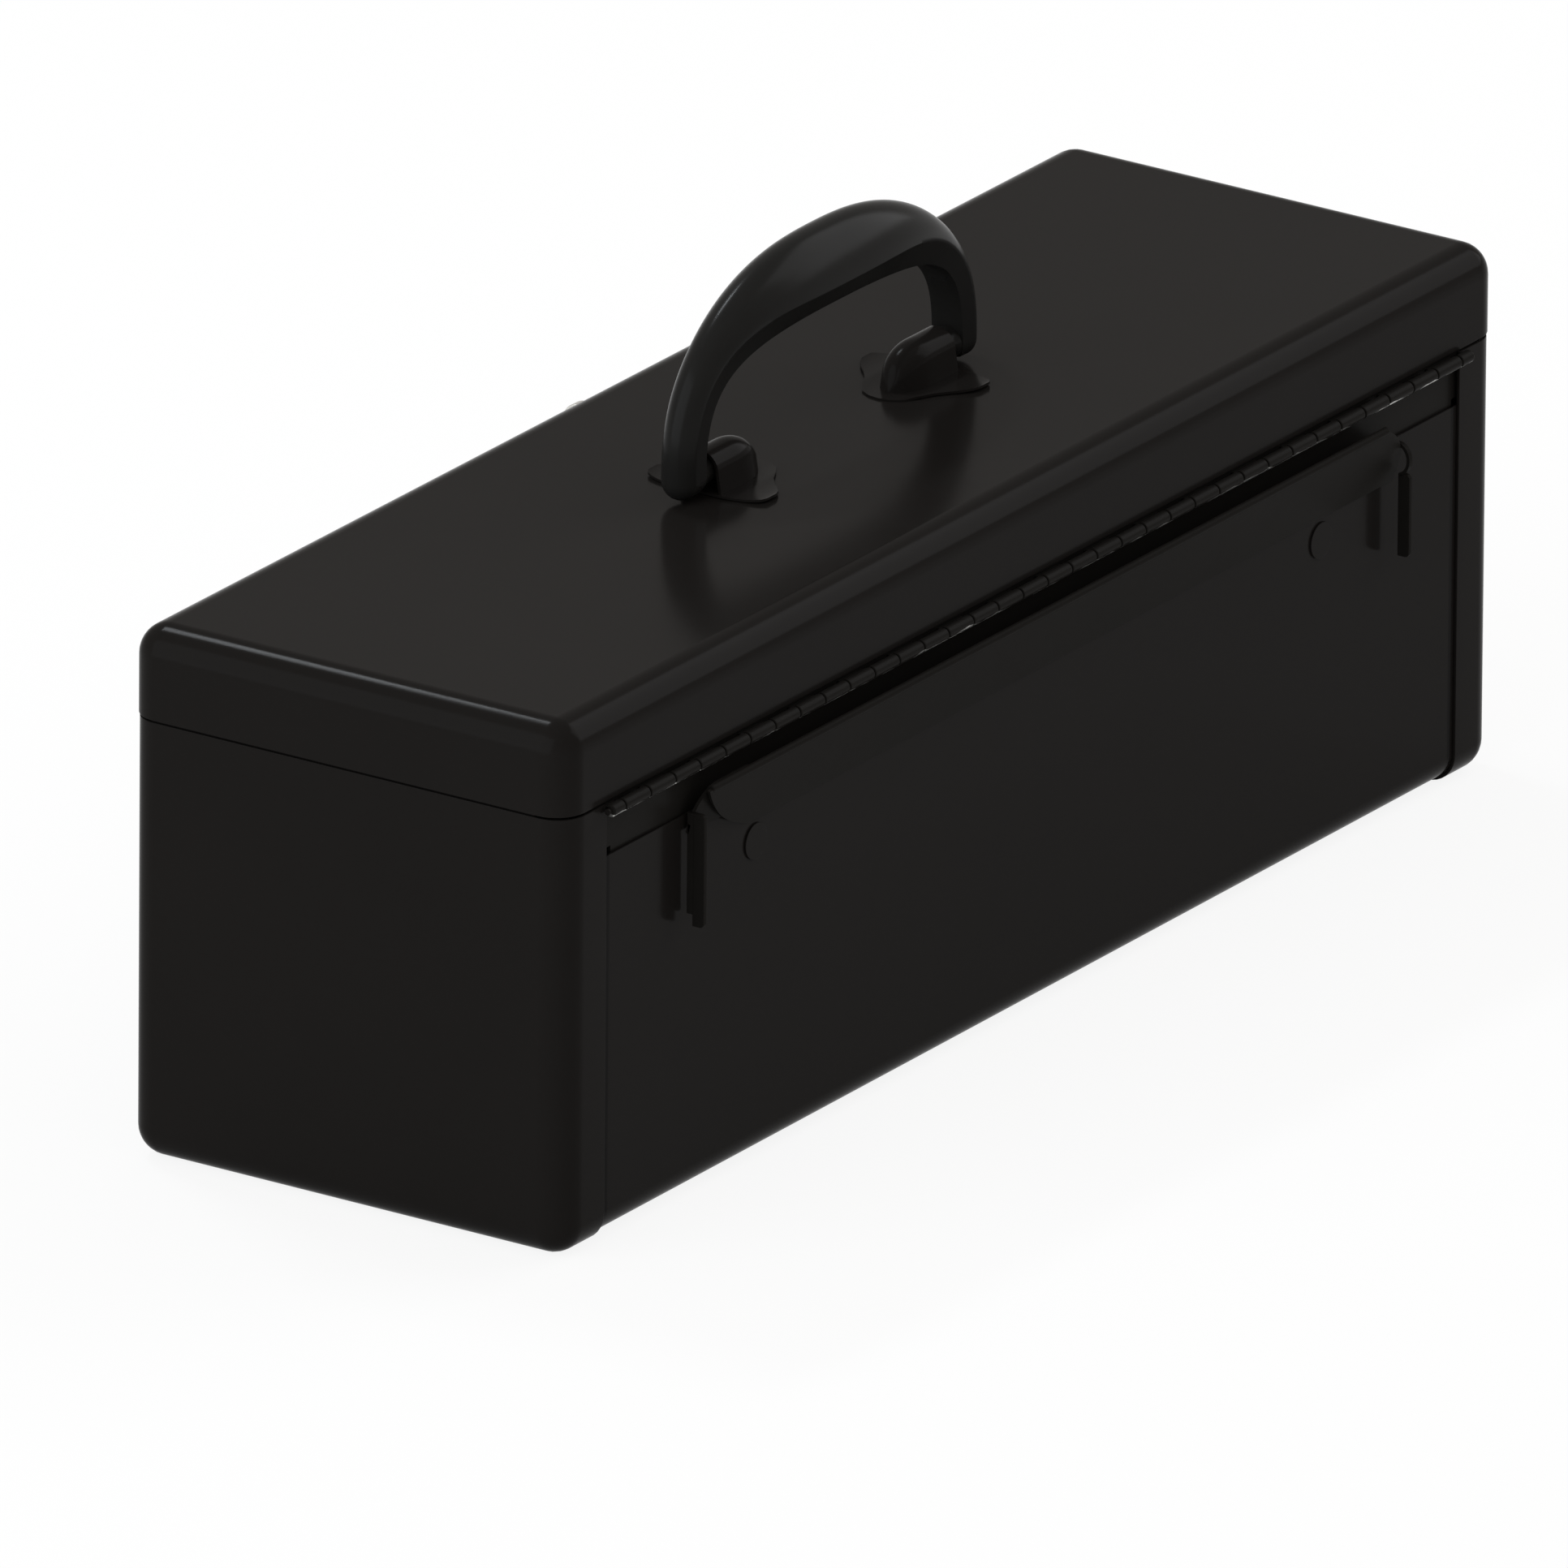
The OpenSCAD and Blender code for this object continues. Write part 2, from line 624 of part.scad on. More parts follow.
module handle_bracket(s) {
    crown = pivot_z + cup_r - case_h;    // height of the cup
    color(paint) mirror([s < 0 ? 1 : 0, 0, 0]) difference() {
        union() {
            intersection() {
                along_x([cup_x0, cup_x1]) cup_section(cup_r, cup_foot);
                union() {
                    translate([cup_x0 + cup_foot, 0, case_h]) cylinder(h = crown + 1, r = cup_foot);
                    block([cup_x0 + cup_foot, cup_x1], [-half_d, half_d],
                          [case_h, case_h + crown + 1]);
                }
                union() {
                    rod_y([-half_d, half_d], cup_x0 + crown, case_h, crown);
                    block([cup_x0 + crown, cup_x1], [-half_d, half_d], [case_h, 2 * case_h]);
                }
            }
            bracket_plate();
        }
        // open mouth for the stub, then the bore for the pin
        along_x([cup_x1 - cup_mouth, cup_x1 + cup_gap])
            cup_mouth_section(cup_r - cup_wall, cup_foot - cup_wall);
        rod_x([cup_x0 + cup_back, cup_x1], 0, pivot_z, handle_pin_r + run);
    }
}
module handle_bracket_left() { handle_bracket(-1); }
module handle_bracket_right() { handle_bracket(1); }

// Inside of a cup's mouth, above the bracket's plate.
module cup_mouth_section(crown, foot) {
    floor_z = case_h + bracket_t;
    translate([0, pivot_z]) circle(crown);
    polygon([[-foot, floor_z], [foot, floor_z], [crown, pivot_z], [-crown, pivot_z]]);
}

// Plate with a rounded tongue under the cup and an ear on each side.
module bracket_plate() {
    tongue = cup_foot + plate_rim;
    round_x = cup_x0 - plate_reach + tongue;
    end_x = cup_x1 + plate_reach;
    foot_r = foot_w / 2;
    translate([0, 0, case_h]) linear_extrude(bracket_t) {
        translate([round_x, 0]) circle(tongue);
        translate([round_x, -tongue]) square([end_x - round_x, 2 * tongue]);
        for (s = [-1, 1]) translate([end_x - foot_r, s * (bracket_d / 2 - foot_r)]) circle(foot_r);
        translate([end_x - foot_w, foot_r - bracket_d / 2]) square([foot_w, bracket_d - foot_w]);
    }
}

// Point on an arch at an angle from one side (0) over the top (90) to the other (180).
function arch(a, half_w, h, square) =
    let (c = cos(a)) [half_w * sign(c) * pow(abs(c), square), h * pow(sin(a), square)];

// Front view of the handle: a round outer arch and a squarer inner one.
module handle_front() {
    steps = 48;
    outer = [for (i = [0 : steps]) arch(180 * i / steps, handle_w / 2, handle_h, outer_square)];
    inner = [for (i = [steps : -1 : 0])
        arch(180 * i / steps, handle_w / 2 - leg_t, handle_h - grip_t, inner_square)];
    polygon(concat(outer, inner));
}

// Plan view of the handle: narrow legs and a wider grip.
module handle_plan() {
    steps = 48;
    edge = [for (i = [-steps : steps]) let (t = i / steps)
        [t * handle_w / 2, leg_w / 2 + (grip_w - leg_w) / 2 * pow(cos(90 * t), 2)]];
    back_edge = [for (i = [2 * steps : -1 : 0]) [edge[i][0], -edge[i][1]]];
    polygon(concat(edge, back_edge));
}

module handle() {
    color(grip_black) translate([0, 0, pivot_z]) {
        intersection() {
            along_y([-grip_w, grip_w]) handle_front();
            translate([0, 0, -eps]) linear_extrude(2 * handle_h) handle_plan();
        }
        for (s = [0, 1]) mirror([s, 0, 0]) {
            rod_x([leg_x, handle_w / 2], 0, 0, leg_w / 2);
            rod_x([cup_x1 - stub_in, leg_x + eps], 0, 0, stub_r);
            rod_x([cup_x0 + cup_back + pin_gap, cup_x1 - stub_in + eps], 0, 0, handle_pin_r);
        }
    }
}

// ---------- draw latches ----------

module latch_base(s) {
    color(nickel) translate([s * latch_x, 0, 0]) difference() {
        union() {
            block([-latch_w / 2, latch_w / 2], [front - plate_t, front], [base_z, base_z + base_h]);
            for (e = [0, 1]) mirror([e, 0, 0]) {
                x = [latch_w / 2 - ear_plate_t, latch_w / 2];
                rod_x(x, latch_y, latch_z, latch_ear_r);
                block(x, [latch_y, front - plate_t + eps],
                      [latch_z - latch_ear_r, latch_z + latch_ear_r]);
            }
        }
        rod_x([-latch_w, latch_w], latch_y, latch_z, latch_pin_r + run);
        for (d = [-base_rivet_x, base_rivet_x])
            rod_y([front - 2 * plate_t, front + eps], d, latch_rivet_z, rivet_r + drill);
    }
}
module latch_base_left() { latch_base(-1); }
module latch_base_right() { latch_base(1); }

module latch_pin(s) {
    x = latch_w / 2 + pin_head_gap;
    color(nickel) translate([s * latch_x, 0, 0]) {
        rod_x([-x, x], latch_y, latch_z, latch_pin_r);
        rod_x([-x - pin_head_t, -x], latch_y, latch_z, pin_head_r);
        rod_x([x, x + pin_head_t], latch_y, latch_z, pin_head_r);
    }
}
module latch_pin_left() { latch_pin(-1); }
module latch_pin_right() { latch_pin(1); }

module latch_lever(s) {
    face = latch_y - hub_r;
    low = latch_z - lever_l;
    color(nickel) translate([s * latch_x, 0, 0]) difference() {
        union() {
            rod_x([-lever_w / 2, lever_w / 2], latch_y, latch_z, hub_r);
            block([-lever_w / 2, lever_w / 2], [face, face + lever_t], [low, latch_z]);
            block([-lever_w / 2, lever_w / 2], [face - lever_lip, face + eps], [low, low + lever_t]);
            // lugs that carry the wire bail
            for (e = [0, 1]) mirror([e, 0, 0]) {
                x = [lever_w / 2 - lug_t, lever_w / 2];
                rod_x(x, latch_y, bail_z, hub_r);
                block(x, [face, latch_y], [bail_z - hub_r, bail_z + hub_r]);
            }
        }
        rod_x([-lever_w, lever_w], latch_y, latch_z, latch_pin_r + run);
        rod_x([-lever_w, lever_w], latch_y, bail_z, bail_r + run);
    }
}
module latch_lever_left() { latch_lever(-1); }
module latch_lever_right() { latch_lever(1); }

module latch_bail(s) {
    color(nickel) translate([s * latch_x, latch_y, bail_z]) rotate([90, 90, 0])
        bail(bail_x, bail_l, lever_w / 2 - lug_t, -1, bail_r, bail_bend, bail_bend);
}
module latch_bail_left() { latch_bail(-1); }
module latch_bail_right() { latch_bail(1); }

module keeper(s) {
    y = lid_front;
    hook_y = y - plate_t - keeper_gap;
    x = [-keeper_w / 2, keeper_w / 2];
    color(nickel) translate([s * latch_x, 0, 0]) difference() {
        union() {
            block([x[0] - keeper_side, x[1] + keeper_side], [y - plate_t, y],
                  [keeper_z, keeper_z + keeper_h]);
            block(x, [hook_y, y - plate_t + eps], [hook_z, hook_z + lever_t]);
            block(x, [hook_y - lever_t, hook_y + eps], [hook_z, hook_z + lever_t + keeper_lip]);
        }
        for (d = [-keeper_rivet_x, keeper_rivet_x])
            rod_y([y - 2 * plate_t, y + eps], d, keeper_rivet_z, rivet_r + drill);
    }
}
module keeper_left() { keeper(-1); }
module keeper_right() { keeper(1); }

// ---------- padlock hasp ----------

module hasp_plate() {
    x1 = hasp_barrel / 2;
    x0 = hasp_knuckle / 2 + side;
    top = hasp_z + hasp_r;
    color(nickel) difference() {
        union() {
            block([-hasp_w / 2, hasp_w / 2], [front - plate_t, front], [top - hasp_h, top]);
            for (e = [0, 1]) mirror([e, 0, 0]) {
                rod_x([x0, x1], hasp_y, hasp_z, hasp_r);
                block([x0, x1], [hasp_y, front - plate_t + eps], [top - plate_t, top]);
            }
        }
        rod_x([-hasp_w, hasp_w], hasp_y, hasp_z, latch_pin_r + run);
        for (s = [-1, 1])
            rod_y([front - 2 * plate_t, front + eps], s * hasp_rivet_x, hasp_rivet_z, rivet_r + drill);
    }
}

module hasp_pin() {
    x = hasp_barrel / 2 + pin_head_gap;
    color(nickel) {
        rod_x([-x, x], hasp_y, hasp_z, latch_pin_r);
        rod_x([-x - pin_head_t, -x], hasp_y, hasp_z, pin_head_r);
        rod_x([x, x + pin_head_t], hasp_y, hasp_z, pin_head_r);
    }
}

module hasp_strap() {
    y = [strap_y - strap_t / 2, strap_y + strap_t / 2];
    r = strap_r;
    clear = hasp_r + strap_gap;
    low = hasp_z - strap_l;
    color(nickel) difference() {
        union() {
            rod_x([-hasp_knuckle / 2, hasp_knuckle / 2], hasp_y, hasp_z, hasp_r);
            block([-hasp_knuckle / 2, hasp_knuckle / 2], y, [hasp_z - clear - eps, hasp_z]);
            along_y(y) {
                translate([-strap_w / 2, low + r]) square([strap_w, strap_l - clear - r]);
                translate([r - strap_w / 2, low]) square([strap_w - 2 * r, r + eps]);
                for (s = [-1, 1]) translate([s * (strap_w / 2 - r), low + r]) circle(r);
            }
        }
        rod_x([-hasp_w, hasp_w], hasp_y, hasp_z, latch_pin_r + run);
        block([-slot_w / 2, slot_w / 2], [y[0] - eps, y[1] + eps], [hasp_z - slot_far, hasp_z - slot_near]);
    }
}

module hasp_staple() {
    y = lid_front;
    color(nickel) difference() {
        block([-hasp_w / 2, hasp_w / 2], [y - plate_t, y], [staple_z, staple_z + staple_h]);
        for (s = [-1, 1])
            rod_y([y - 2 * plate_t, y + eps], s * hasp_rivet_x, eye_z, rivet_r + drill);
    }
}

// Eye welded on the staple's plate, with the padlock hole.
module hasp_eye() {
    x = [-eye_t / 2, eye_t / 2];
    color(nickel) difference() {
        union() {
            rod_x(x, eye_y, eye_z, eye_out);
            block(x, [eye_y, lid_front - plate_t], [eye_z - eye_out, eye_z + eye_out]);
        }
        rod_x([-eye_t, eye_t], eye_y, eye_z, eye_r);
        block([-eye_t, eye_t], [lid_front - plate_t, 0], [eye_z - 2 * eye_out, eye_z + 2 * eye_out]);
    }
}

module front_rivets() {
    color(nickel) for (p = front_places) rivet(p[0], p[1], front - plate_t, -wall_in);
}

module lid_rivets() {
    color(nickel) for (p = lid_places) rivet(p[0], p[1], lid_front - plate_t, lid_front + sheet_t);
}

// ---------- tray ----------

module tray_pan() {
    l = 2 * tray_x;
    d = 2 * tray_y;
    color(tray_grey) difference() {
        translate([0, 0, tray_z]) union() {
            pan_shell(l, d, tray_h, tray_r, tray_t);
            // hem folded inwards along the top edge
            translate([0, 0, tray_h - hem_h]) linear_extrude(hem_h) difference() {
                rim_plan(tray_x - tray_t / 2, tray_y - tray_t / 2, tray_r - tray_t / 2);
                rim_plan(tray_x - 2 * tray_t, tray_y - 2 * tray_t, tray_r - 2 * tray_t);
            }
            for (s = [0, 1]) mirror([0, s, 0]) {
                y = [tray_y - tray_t - boss_l, tray_y - tray_t / 2];
                rod_y(y, 0, tray_bail_z - tray_z, boss_r);
                // lug on which the folded handle lies
                rest_z = tray_bail_z - tray_z - tray_bail_r - side;
                block([tray_bail_l - tray_bail_corner - rest_l, tray_bail_l - tray_bail_corner],
                      [tray_bail_y - tray_bail_r, tray_y - tray_t / 2], [rest_z - rest_t, rest_z]);
            }
        }
        rod_y([-2 * tray_y, 2 * tray_y], 0, tray_bail_z, tray_bail_r + run);
    }
}

// Bent sheet across the tray, with a foot along the bottom.
module tray_divider(s) {
    x = s * divider_x;
    color(tray_grey) translate([0, 0, tray_z]) intersection() {
        translate([0, 0, tray_t])
            pan_solid(2 * (tray_x - tray_t), 2 * (tray_y - tray_t), tray_h, tray_r - tray_t);
        union() {
            block([x - tray_t / 2, x + tray_t / 2], [-tray_y, tray_y], [tray_t, tray_t + divider_h]);
            block([x - tray_t / 2, x + divider_foot], [-tray_y + 2 * tray_r, tray_y - 2 * tray_r],
                  [tray_t, 2 * tray_t]);
        }
    }
}
module tray_divider_left() { tray_divider(-1); }
module tray_divider_right() { tray_divider(1); }

module tray_handle() {
    color(nickel) translate([0, 0, tray_bail_z])
        bail(tray_bail_y, tray_bail_l, tray_y - tray_t / 4, 1, tray_bail_r, tray_bail_bend,
             tray_bail_corner);
}

body_wrap();
end_cap_left();
end_cap_right();
rim_front();
rim_left();
rim_right();
rim_corner_left();
rim_corner_right();
hinge_leaf_lower();
hinge_pin();
lid_stop();
stop_rivets();
tray_ledge_left();
tray_ledge_right();
latch_base_left();
latch_base_right();
latch_pin_left();
latch_pin_right();
hasp_plate();
hasp_pin();
front_rivets();
lid_shell();
hinge_leaf_upper();
handle_bracket_left();
handle_bracket_right();
keeper_left();
keeper_right();
hasp_staple();
hasp_eye();
lid_rivets();
handle();
latch_lever_left();
latch_lever_right();
latch_bail_left();
latch_bail_right();
hasp_strap();
tray_pan();
tray_divider_left();
tray_divider_right();
tray_handle();
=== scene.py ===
"""Studio scene of a flat-top steel hand toolbox with a lift-out tray.

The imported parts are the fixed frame. The pressed shells, the piano hinge, the
lid stop, the carrying handle and its brackets are modelled again with the
softer shapes of pressed, rolled and moulded work. The other parts keep their
own shape and get rounded edges. Lengths are in metres, in the frame's own axes.
"""

from __future__ import annotations

import json
import logging
import math
from dataclasses import dataclass, replace
from enum import Enum
from typing import Any, Iterable, Sequence

import bmesh
import bpy
from mathutils import Matrix, Vector

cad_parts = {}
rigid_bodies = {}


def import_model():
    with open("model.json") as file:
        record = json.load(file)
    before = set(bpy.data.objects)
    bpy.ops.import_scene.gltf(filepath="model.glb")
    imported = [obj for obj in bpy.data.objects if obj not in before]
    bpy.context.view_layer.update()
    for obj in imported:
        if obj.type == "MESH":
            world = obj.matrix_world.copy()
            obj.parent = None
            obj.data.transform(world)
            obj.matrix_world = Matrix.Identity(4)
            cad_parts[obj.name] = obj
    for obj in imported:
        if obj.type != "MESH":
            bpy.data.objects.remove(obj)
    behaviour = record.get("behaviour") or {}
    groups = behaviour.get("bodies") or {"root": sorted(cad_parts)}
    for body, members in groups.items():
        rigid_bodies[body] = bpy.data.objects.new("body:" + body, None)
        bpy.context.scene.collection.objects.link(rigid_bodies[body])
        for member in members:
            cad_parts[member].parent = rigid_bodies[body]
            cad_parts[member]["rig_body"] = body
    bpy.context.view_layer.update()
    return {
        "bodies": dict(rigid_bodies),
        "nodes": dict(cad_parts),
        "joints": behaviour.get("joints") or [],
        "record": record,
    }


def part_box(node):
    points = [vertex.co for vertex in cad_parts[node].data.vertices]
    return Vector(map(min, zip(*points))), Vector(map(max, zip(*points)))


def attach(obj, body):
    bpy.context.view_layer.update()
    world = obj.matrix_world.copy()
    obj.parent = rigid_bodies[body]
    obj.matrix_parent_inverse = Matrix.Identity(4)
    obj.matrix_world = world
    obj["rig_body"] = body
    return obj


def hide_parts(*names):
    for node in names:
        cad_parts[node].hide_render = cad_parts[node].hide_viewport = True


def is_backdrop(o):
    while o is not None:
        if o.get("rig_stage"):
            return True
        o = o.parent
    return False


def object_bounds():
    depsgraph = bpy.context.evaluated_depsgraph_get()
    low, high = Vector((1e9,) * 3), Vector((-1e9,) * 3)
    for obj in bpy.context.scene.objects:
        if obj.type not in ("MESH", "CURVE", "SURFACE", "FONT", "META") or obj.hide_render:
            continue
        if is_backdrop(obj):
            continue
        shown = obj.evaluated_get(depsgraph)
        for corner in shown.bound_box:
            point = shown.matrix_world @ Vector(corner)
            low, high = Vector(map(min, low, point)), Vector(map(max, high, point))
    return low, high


LOG = logging.getLogger("toolbox")
MM = 0.001
X, Y, Z = Vector((1, 0, 0)), Vector((0, 1, 0)), Vector((0, 0, 1))
# Vertices nearer to each other than this are one.
WELD = 1e-6
# The cosine from which two directions count as the same.
PARALLEL = 0.9
# The sockets of a blend of colours: its factor and two colours, and its result.
MIX_INPUTS, MIX_RESULT = (0, 6, 7), 2
Colour = tuple[float, float, float]
Mesh = bmesh.types.BMesh
Vert = bmesh.types.BMVert
Edge = bmesh.types.BMEdge
Face = bmesh.types.BMFace


class Slot(Enum):
    """The record's material slots."""

    PAINT = "black_paint"
    PLASTIC = "black_plastic"
    STEEL = "bright_steel"
    TRAY = "tray_paint"


# ---------------------------------------------------------------- shader trees


@dataclass(frozen=True)
class Pattern:
    """A noise: its scale, its number of finer octaves, their strength and its stretch."""

    per_metre: float
    detail: float
    rough: float
    stretch: tuple[float, float, float] = (1, 1, 1)


class Value:
    """An output socket whose arithmetic adds Math nodes to its tree."""

    def __init__(self, tree: Tree, socket: bpy.types.NodeSocket) -> None:
        """Keeps an output socket and the tree that new Math nodes go into."""
        self.tree = tree
        self.socket = socket

    def _math(self, operation: str, first: Any, second: Any) -> Value:
        """Returns the result of a new Math node on two values or numbers."""
        node = self.tree.node("ShaderNodeMath", {"operation": operation}, {0: first, 1: second})
        return self.tree.value(node, "Value")

    def __add__(self, other: Any) -> Value:
        """Returns the sum."""
        return self._math("ADD", self, other)

    def __radd__(self, other: Any) -> Value:
        """Returns the sum with a number on the left."""
        return self._math("ADD", other, self)

    def __sub__(self, other: Any) -> Value:
        """Returns the difference."""
        return self._math("SUBTRACT", self, other)

    def __rsub__(self, other: Any) -> Value:
        """Returns the difference from a number on the left."""
        return self._math("SUBTRACT", other, self)

    def __mul__(self, other: Any) -> Value:
        """Returns the product."""
        return self._math("MULTIPLY", self, other)

    def __rmul__(self, other: Any) -> Value:
        """Returns the product with a number on the left."""
        return self._math("MULTIPLY", other, self)

    def larger(self, other: Any) -> Value:
        """Returns the larger of two values."""
        return self._math("MAXIMUM", self, other)

    def held(self) -> Value:
        """Returns the value, held between 0 and 1."""
        return self.tree.value(self.tree.node("ShaderNodeClamp", None, {"Value": self}), "Result")


class Tree:
    """A material's or the world's node tree, filled from code."""

    def __init__(self, owner: bpy.types.Material | bpy.types.World) -> None:
        """Empties the owner's tree and starts it again.

        Args:
            owner: The material or world.
        """
        owner.use_nodes = True
        self.nodes = owner.node_tree.nodes
        self.links = owner.node_tree.links
        self.nodes.clear()

    def node(self, kind: str, settings: dict[str, Any] | None = None,
             sockets: dict[str | int, Any] | None = None) -> bpy.types.Node:
        """Adds a node.

        Args:
            kind: The node's type.
            settings: Its own settings, set first.
            sockets: Numbers, colours or linked values, by socket name or index.

        Returns:
            The node.
        """
        made = self.nodes.new(kind)
        for name, setting in (settings or {}).items():
            setattr(made, name, setting)
        for name, given in (sockets or {}).items():
            socket = made.inputs[name]
            if isinstance(given, Value):
                self.links.new(given.socket, socket)
            elif socket.type == "RGBA":
                socket.default_value = (*given, 1)
            else:
                socket.default_value = given
        return made

    def value(self, node: bpy.types.Node, name: str) -> Value:
        """Returns a node's output by its name."""
        return Value(self, node.outputs[name])

    def place(self) -> Value:
        """Returns the object's own coordinates."""
        return self.value(self.node("ShaderNodeTexCoord"), "Object")

    def along(self, axis: str) -> Value:
        """Returns the object's own coordinate along X, Y or Z."""
        return self.value(self.node("ShaderNodeSeparateXYZ", None, {"Vector": self.place()}), axis)

    def noise(self, pattern: Pattern) -> Value:
        """Adds a noise on the object's own coordinates.

        Args:
            pattern: The noise's sizes.

        Returns:
            The noise, from 0 to 1.
        """
        mapped = self.node("ShaderNodeMapping", None,
                           {"Vector": self.place(), "Scale": pattern.stretch})
        made = self.node("ShaderNodeTexNoise", {"noise_dimensions": "3D"}, {
            "Vector": self.value(mapped, "Vector"),
            "Scale": pattern.per_metre,
            "Detail": pattern.detail,
            "Roughness": pattern.rough,
        })
        return self.value(made, "Fac")

    def blend(self, factor: Any, first: Any, second: Any) -> Value:
        """Blends two colours.

        Args:
            factor: How much of the second shows, from 0 to 1.
            first: The first colour.
            second: The second colour.

        Returns:
            The colour between them.
        """
        sockets = dict(zip(MIX_INPUTS, (factor, first, second)))
        made = self.node("ShaderNodeMix", {"data_type": "RGBA"}, sockets)
        return Value(self, made.outputs[MIX_RESULT])

    def bump(self, height: Value, depth: float, share: float = 1) -> Value:
        """Turns a pattern into a relief.

        Args:
            height: The pattern, from 0 to 1.
            depth: Its height in metres.
            share: The share of it that shows.

        Returns:
            The bumped normal.
        """
        made = self.node("ShaderNodeBump", None,
                         {"Height": height, "Distance": depth, "Strength": share})
        return self.value(made, "Normal")


# ---------------------------------------------------------------- finishes


@dataclass(frozen=True)
class Finish:
    """A finish in two close shades."""

    name: str
    colour: Colour
    faded: Colour
    roughness: float

    def sockets(self, tree: Tree) -> dict[str | int, Any]:
        """Returns what the shader's sockets get, which each kind of finish says itself."""
        raise NotImplementedError

    def material(self) -> bpy.types.Material:
        """Makes the finish.

        Returns:
            The finish as a material.
        """
        made = bpy.data.materials.new(self.name)
        tree = Tree(made)
        shader = tree.node("ShaderNodeBsdfPrincipled", None, self.sockets(tree))
        tree.node("ShaderNodeOutputMaterial", None, {"Surface": tree.value(shader, "BSDF")})
        return made


@dataclass(frozen=True)
class Enamel(Finish):
    """Sprayed and baked enamel on sheet steel, with a painted glint band and a painted seam shadow
    band.

    A band is given by its two limits. The rates say how fast it comes and goes, per metre.
    """

    spread: float
    gloss: float
    cloud: Pattern = Pattern(14, 4, 0.6)
    haze: Pattern = Pattern(55, 3, 0.55)
    peel: Pattern = Pattern(900, 1, 0.4)
    peel_depth: float = 2.2e-6
    # Painted glint: a band where bright bare metal is painted in patches.
    glint_band: tuple[float, float] | None = None
    glint_metal: Colour = (0.62, 0.62, 0.60)
    glint_patches: Pattern = Pattern(80, 2, 0.6, (1, 0.1, 0.1))
    glint_level: float = 0.56
    glint_contrast: float = 16
    glint_top_rate: float = 4000
    glint_low_rate: float = 9000
    # Painted shadow: a darker band painted beside each end seam.
    seam_shade: tuple[float, float] | None = None
    seam_shade_colour: Colour = (0.0045, 0.0040, 0.0037)
    seam_shade_rate: float = 2500

    def _painted_glint(self, tree: Tree) -> Value:
        """Paints bright bare metal in patches between two heights, as a painted glint.

        Args:
            tree: The material's tree.

        Returns:
            How much painted glint shows, from 0 to 1.
        """
        low, high = self.glint_band
        height = tree.along("Z")
        glint_patches = (tree.noise(self.glint_patches) - self.glint_level) * self.glint_contrast
        glint_top = ((high - height) * self.glint_top_rate + glint_patches).held()
        return glint_top * ((height - low) * self.glint_low_rate).held()

    def _painted_seam_shade(self, tree: Tree) -> Value:
        """Paints a band of shade beside each of the two end seams, as a painted shadow.

        Args:
            tree: The material's tree.

        Returns:
            How much painted shade there is, from 0 to 1.
        """
        inner, outer = self.seam_shade
        along = tree.along("X")
        away = along.larger(along * -1)
        return (((away - inner) * self.seam_shade_rate).held()
                * ((outer - away) * self.seam_shade_rate).held())

    def sockets(self, tree: Tree) -> dict[str | int, Any]:
        """Mixes the enamel.

        Args:
            tree: The material's tree.

        Returns:
            What the shader's sockets get.
        """
        paint = tree.blend(tree.noise(self.cloud), self.colour, self.faded)
        glint: Any = 0.0
        # The glint band paints bright bare metal into the colour, as a painted glint.
        if self.glint_band:
            glint = self._painted_glint(tree)
            paint = tree.blend(glint, paint, self.glint_metal)
        # The seam band paints a darker shade into the colour, as a painted shadow.
        if self.seam_shade:
            paint = tree.blend(self._painted_seam_shade(tree), paint, self.seam_shade_colour)
        return {
            "Base Color": paint,
            "Roughness": tree.noise(self.haze) * self.spread + (self.roughness - self.spread / 2),
            "Metallic": glint,
            "Specular IOR Level": self.gloss,
            "Normal": tree.bump(tree.noise(self.peel), self.peel_depth),
        }


@dataclass(frozen=True)
class Moulding(Finish):
    """Polished black moulded plastic."""

    gloss: float
    smear: Pattern = Pattern(60, 4, 0.6, (0.5, 2, 2))
    spread: float = 0.07
    flow: Pattern = Pattern(160, 2, 0.5)
    flow_depth: float = 6e-6

    def sockets(self, tree: Tree) -> dict[str | int, Any]:
        """Mixes the plastic.

        Args:
            tree: The material's tree.

        Returns:
            What the shader's sockets get.
        """
        smear = tree.noise(self.smear)
        return {
            "Base Color": tree.blend(smear, self.colour, self.faded),
            "Roughness": smear * self.spread + (self.roughness - self.spread / 2),
            "Specular IOR Level": self.gloss,
            "Normal": tree.bump(tree.noise(self.flow), self.flow_depth),
        }


@dataclass(frozen=True)
class Plate(Finish):
    """Bright plated steel with the faint grain of rolled strip."""

    grain: Pattern = Pattern(2600, 3, 0.6, (1, 1, 0.06))
    grain_depth: float = 2e-6
    grain_share: float = 0.6
    stain: Pattern = Pattern(130, 4, 0.6)
    spread: float = 0.1

    def sockets(self, tree: Tree) -> dict[str | int, Any]:
        """Mixes the plating.

        Args:
            tree: The material's tree.

        Returns:
            What the shader's sockets get.
        """
        grain, stain = tree.noise(self.grain), tree.noise(self.stain)
        return {
            "Base Color": tree.blend(stain, self.colour, self.faded),
            "Roughness": (grain + stain) * self.spread + (self.roughness - self.spread),
            "Metallic": 1.0,
            "Normal": tree.bump(grain, self.grain_depth, self.grain_share),
        }


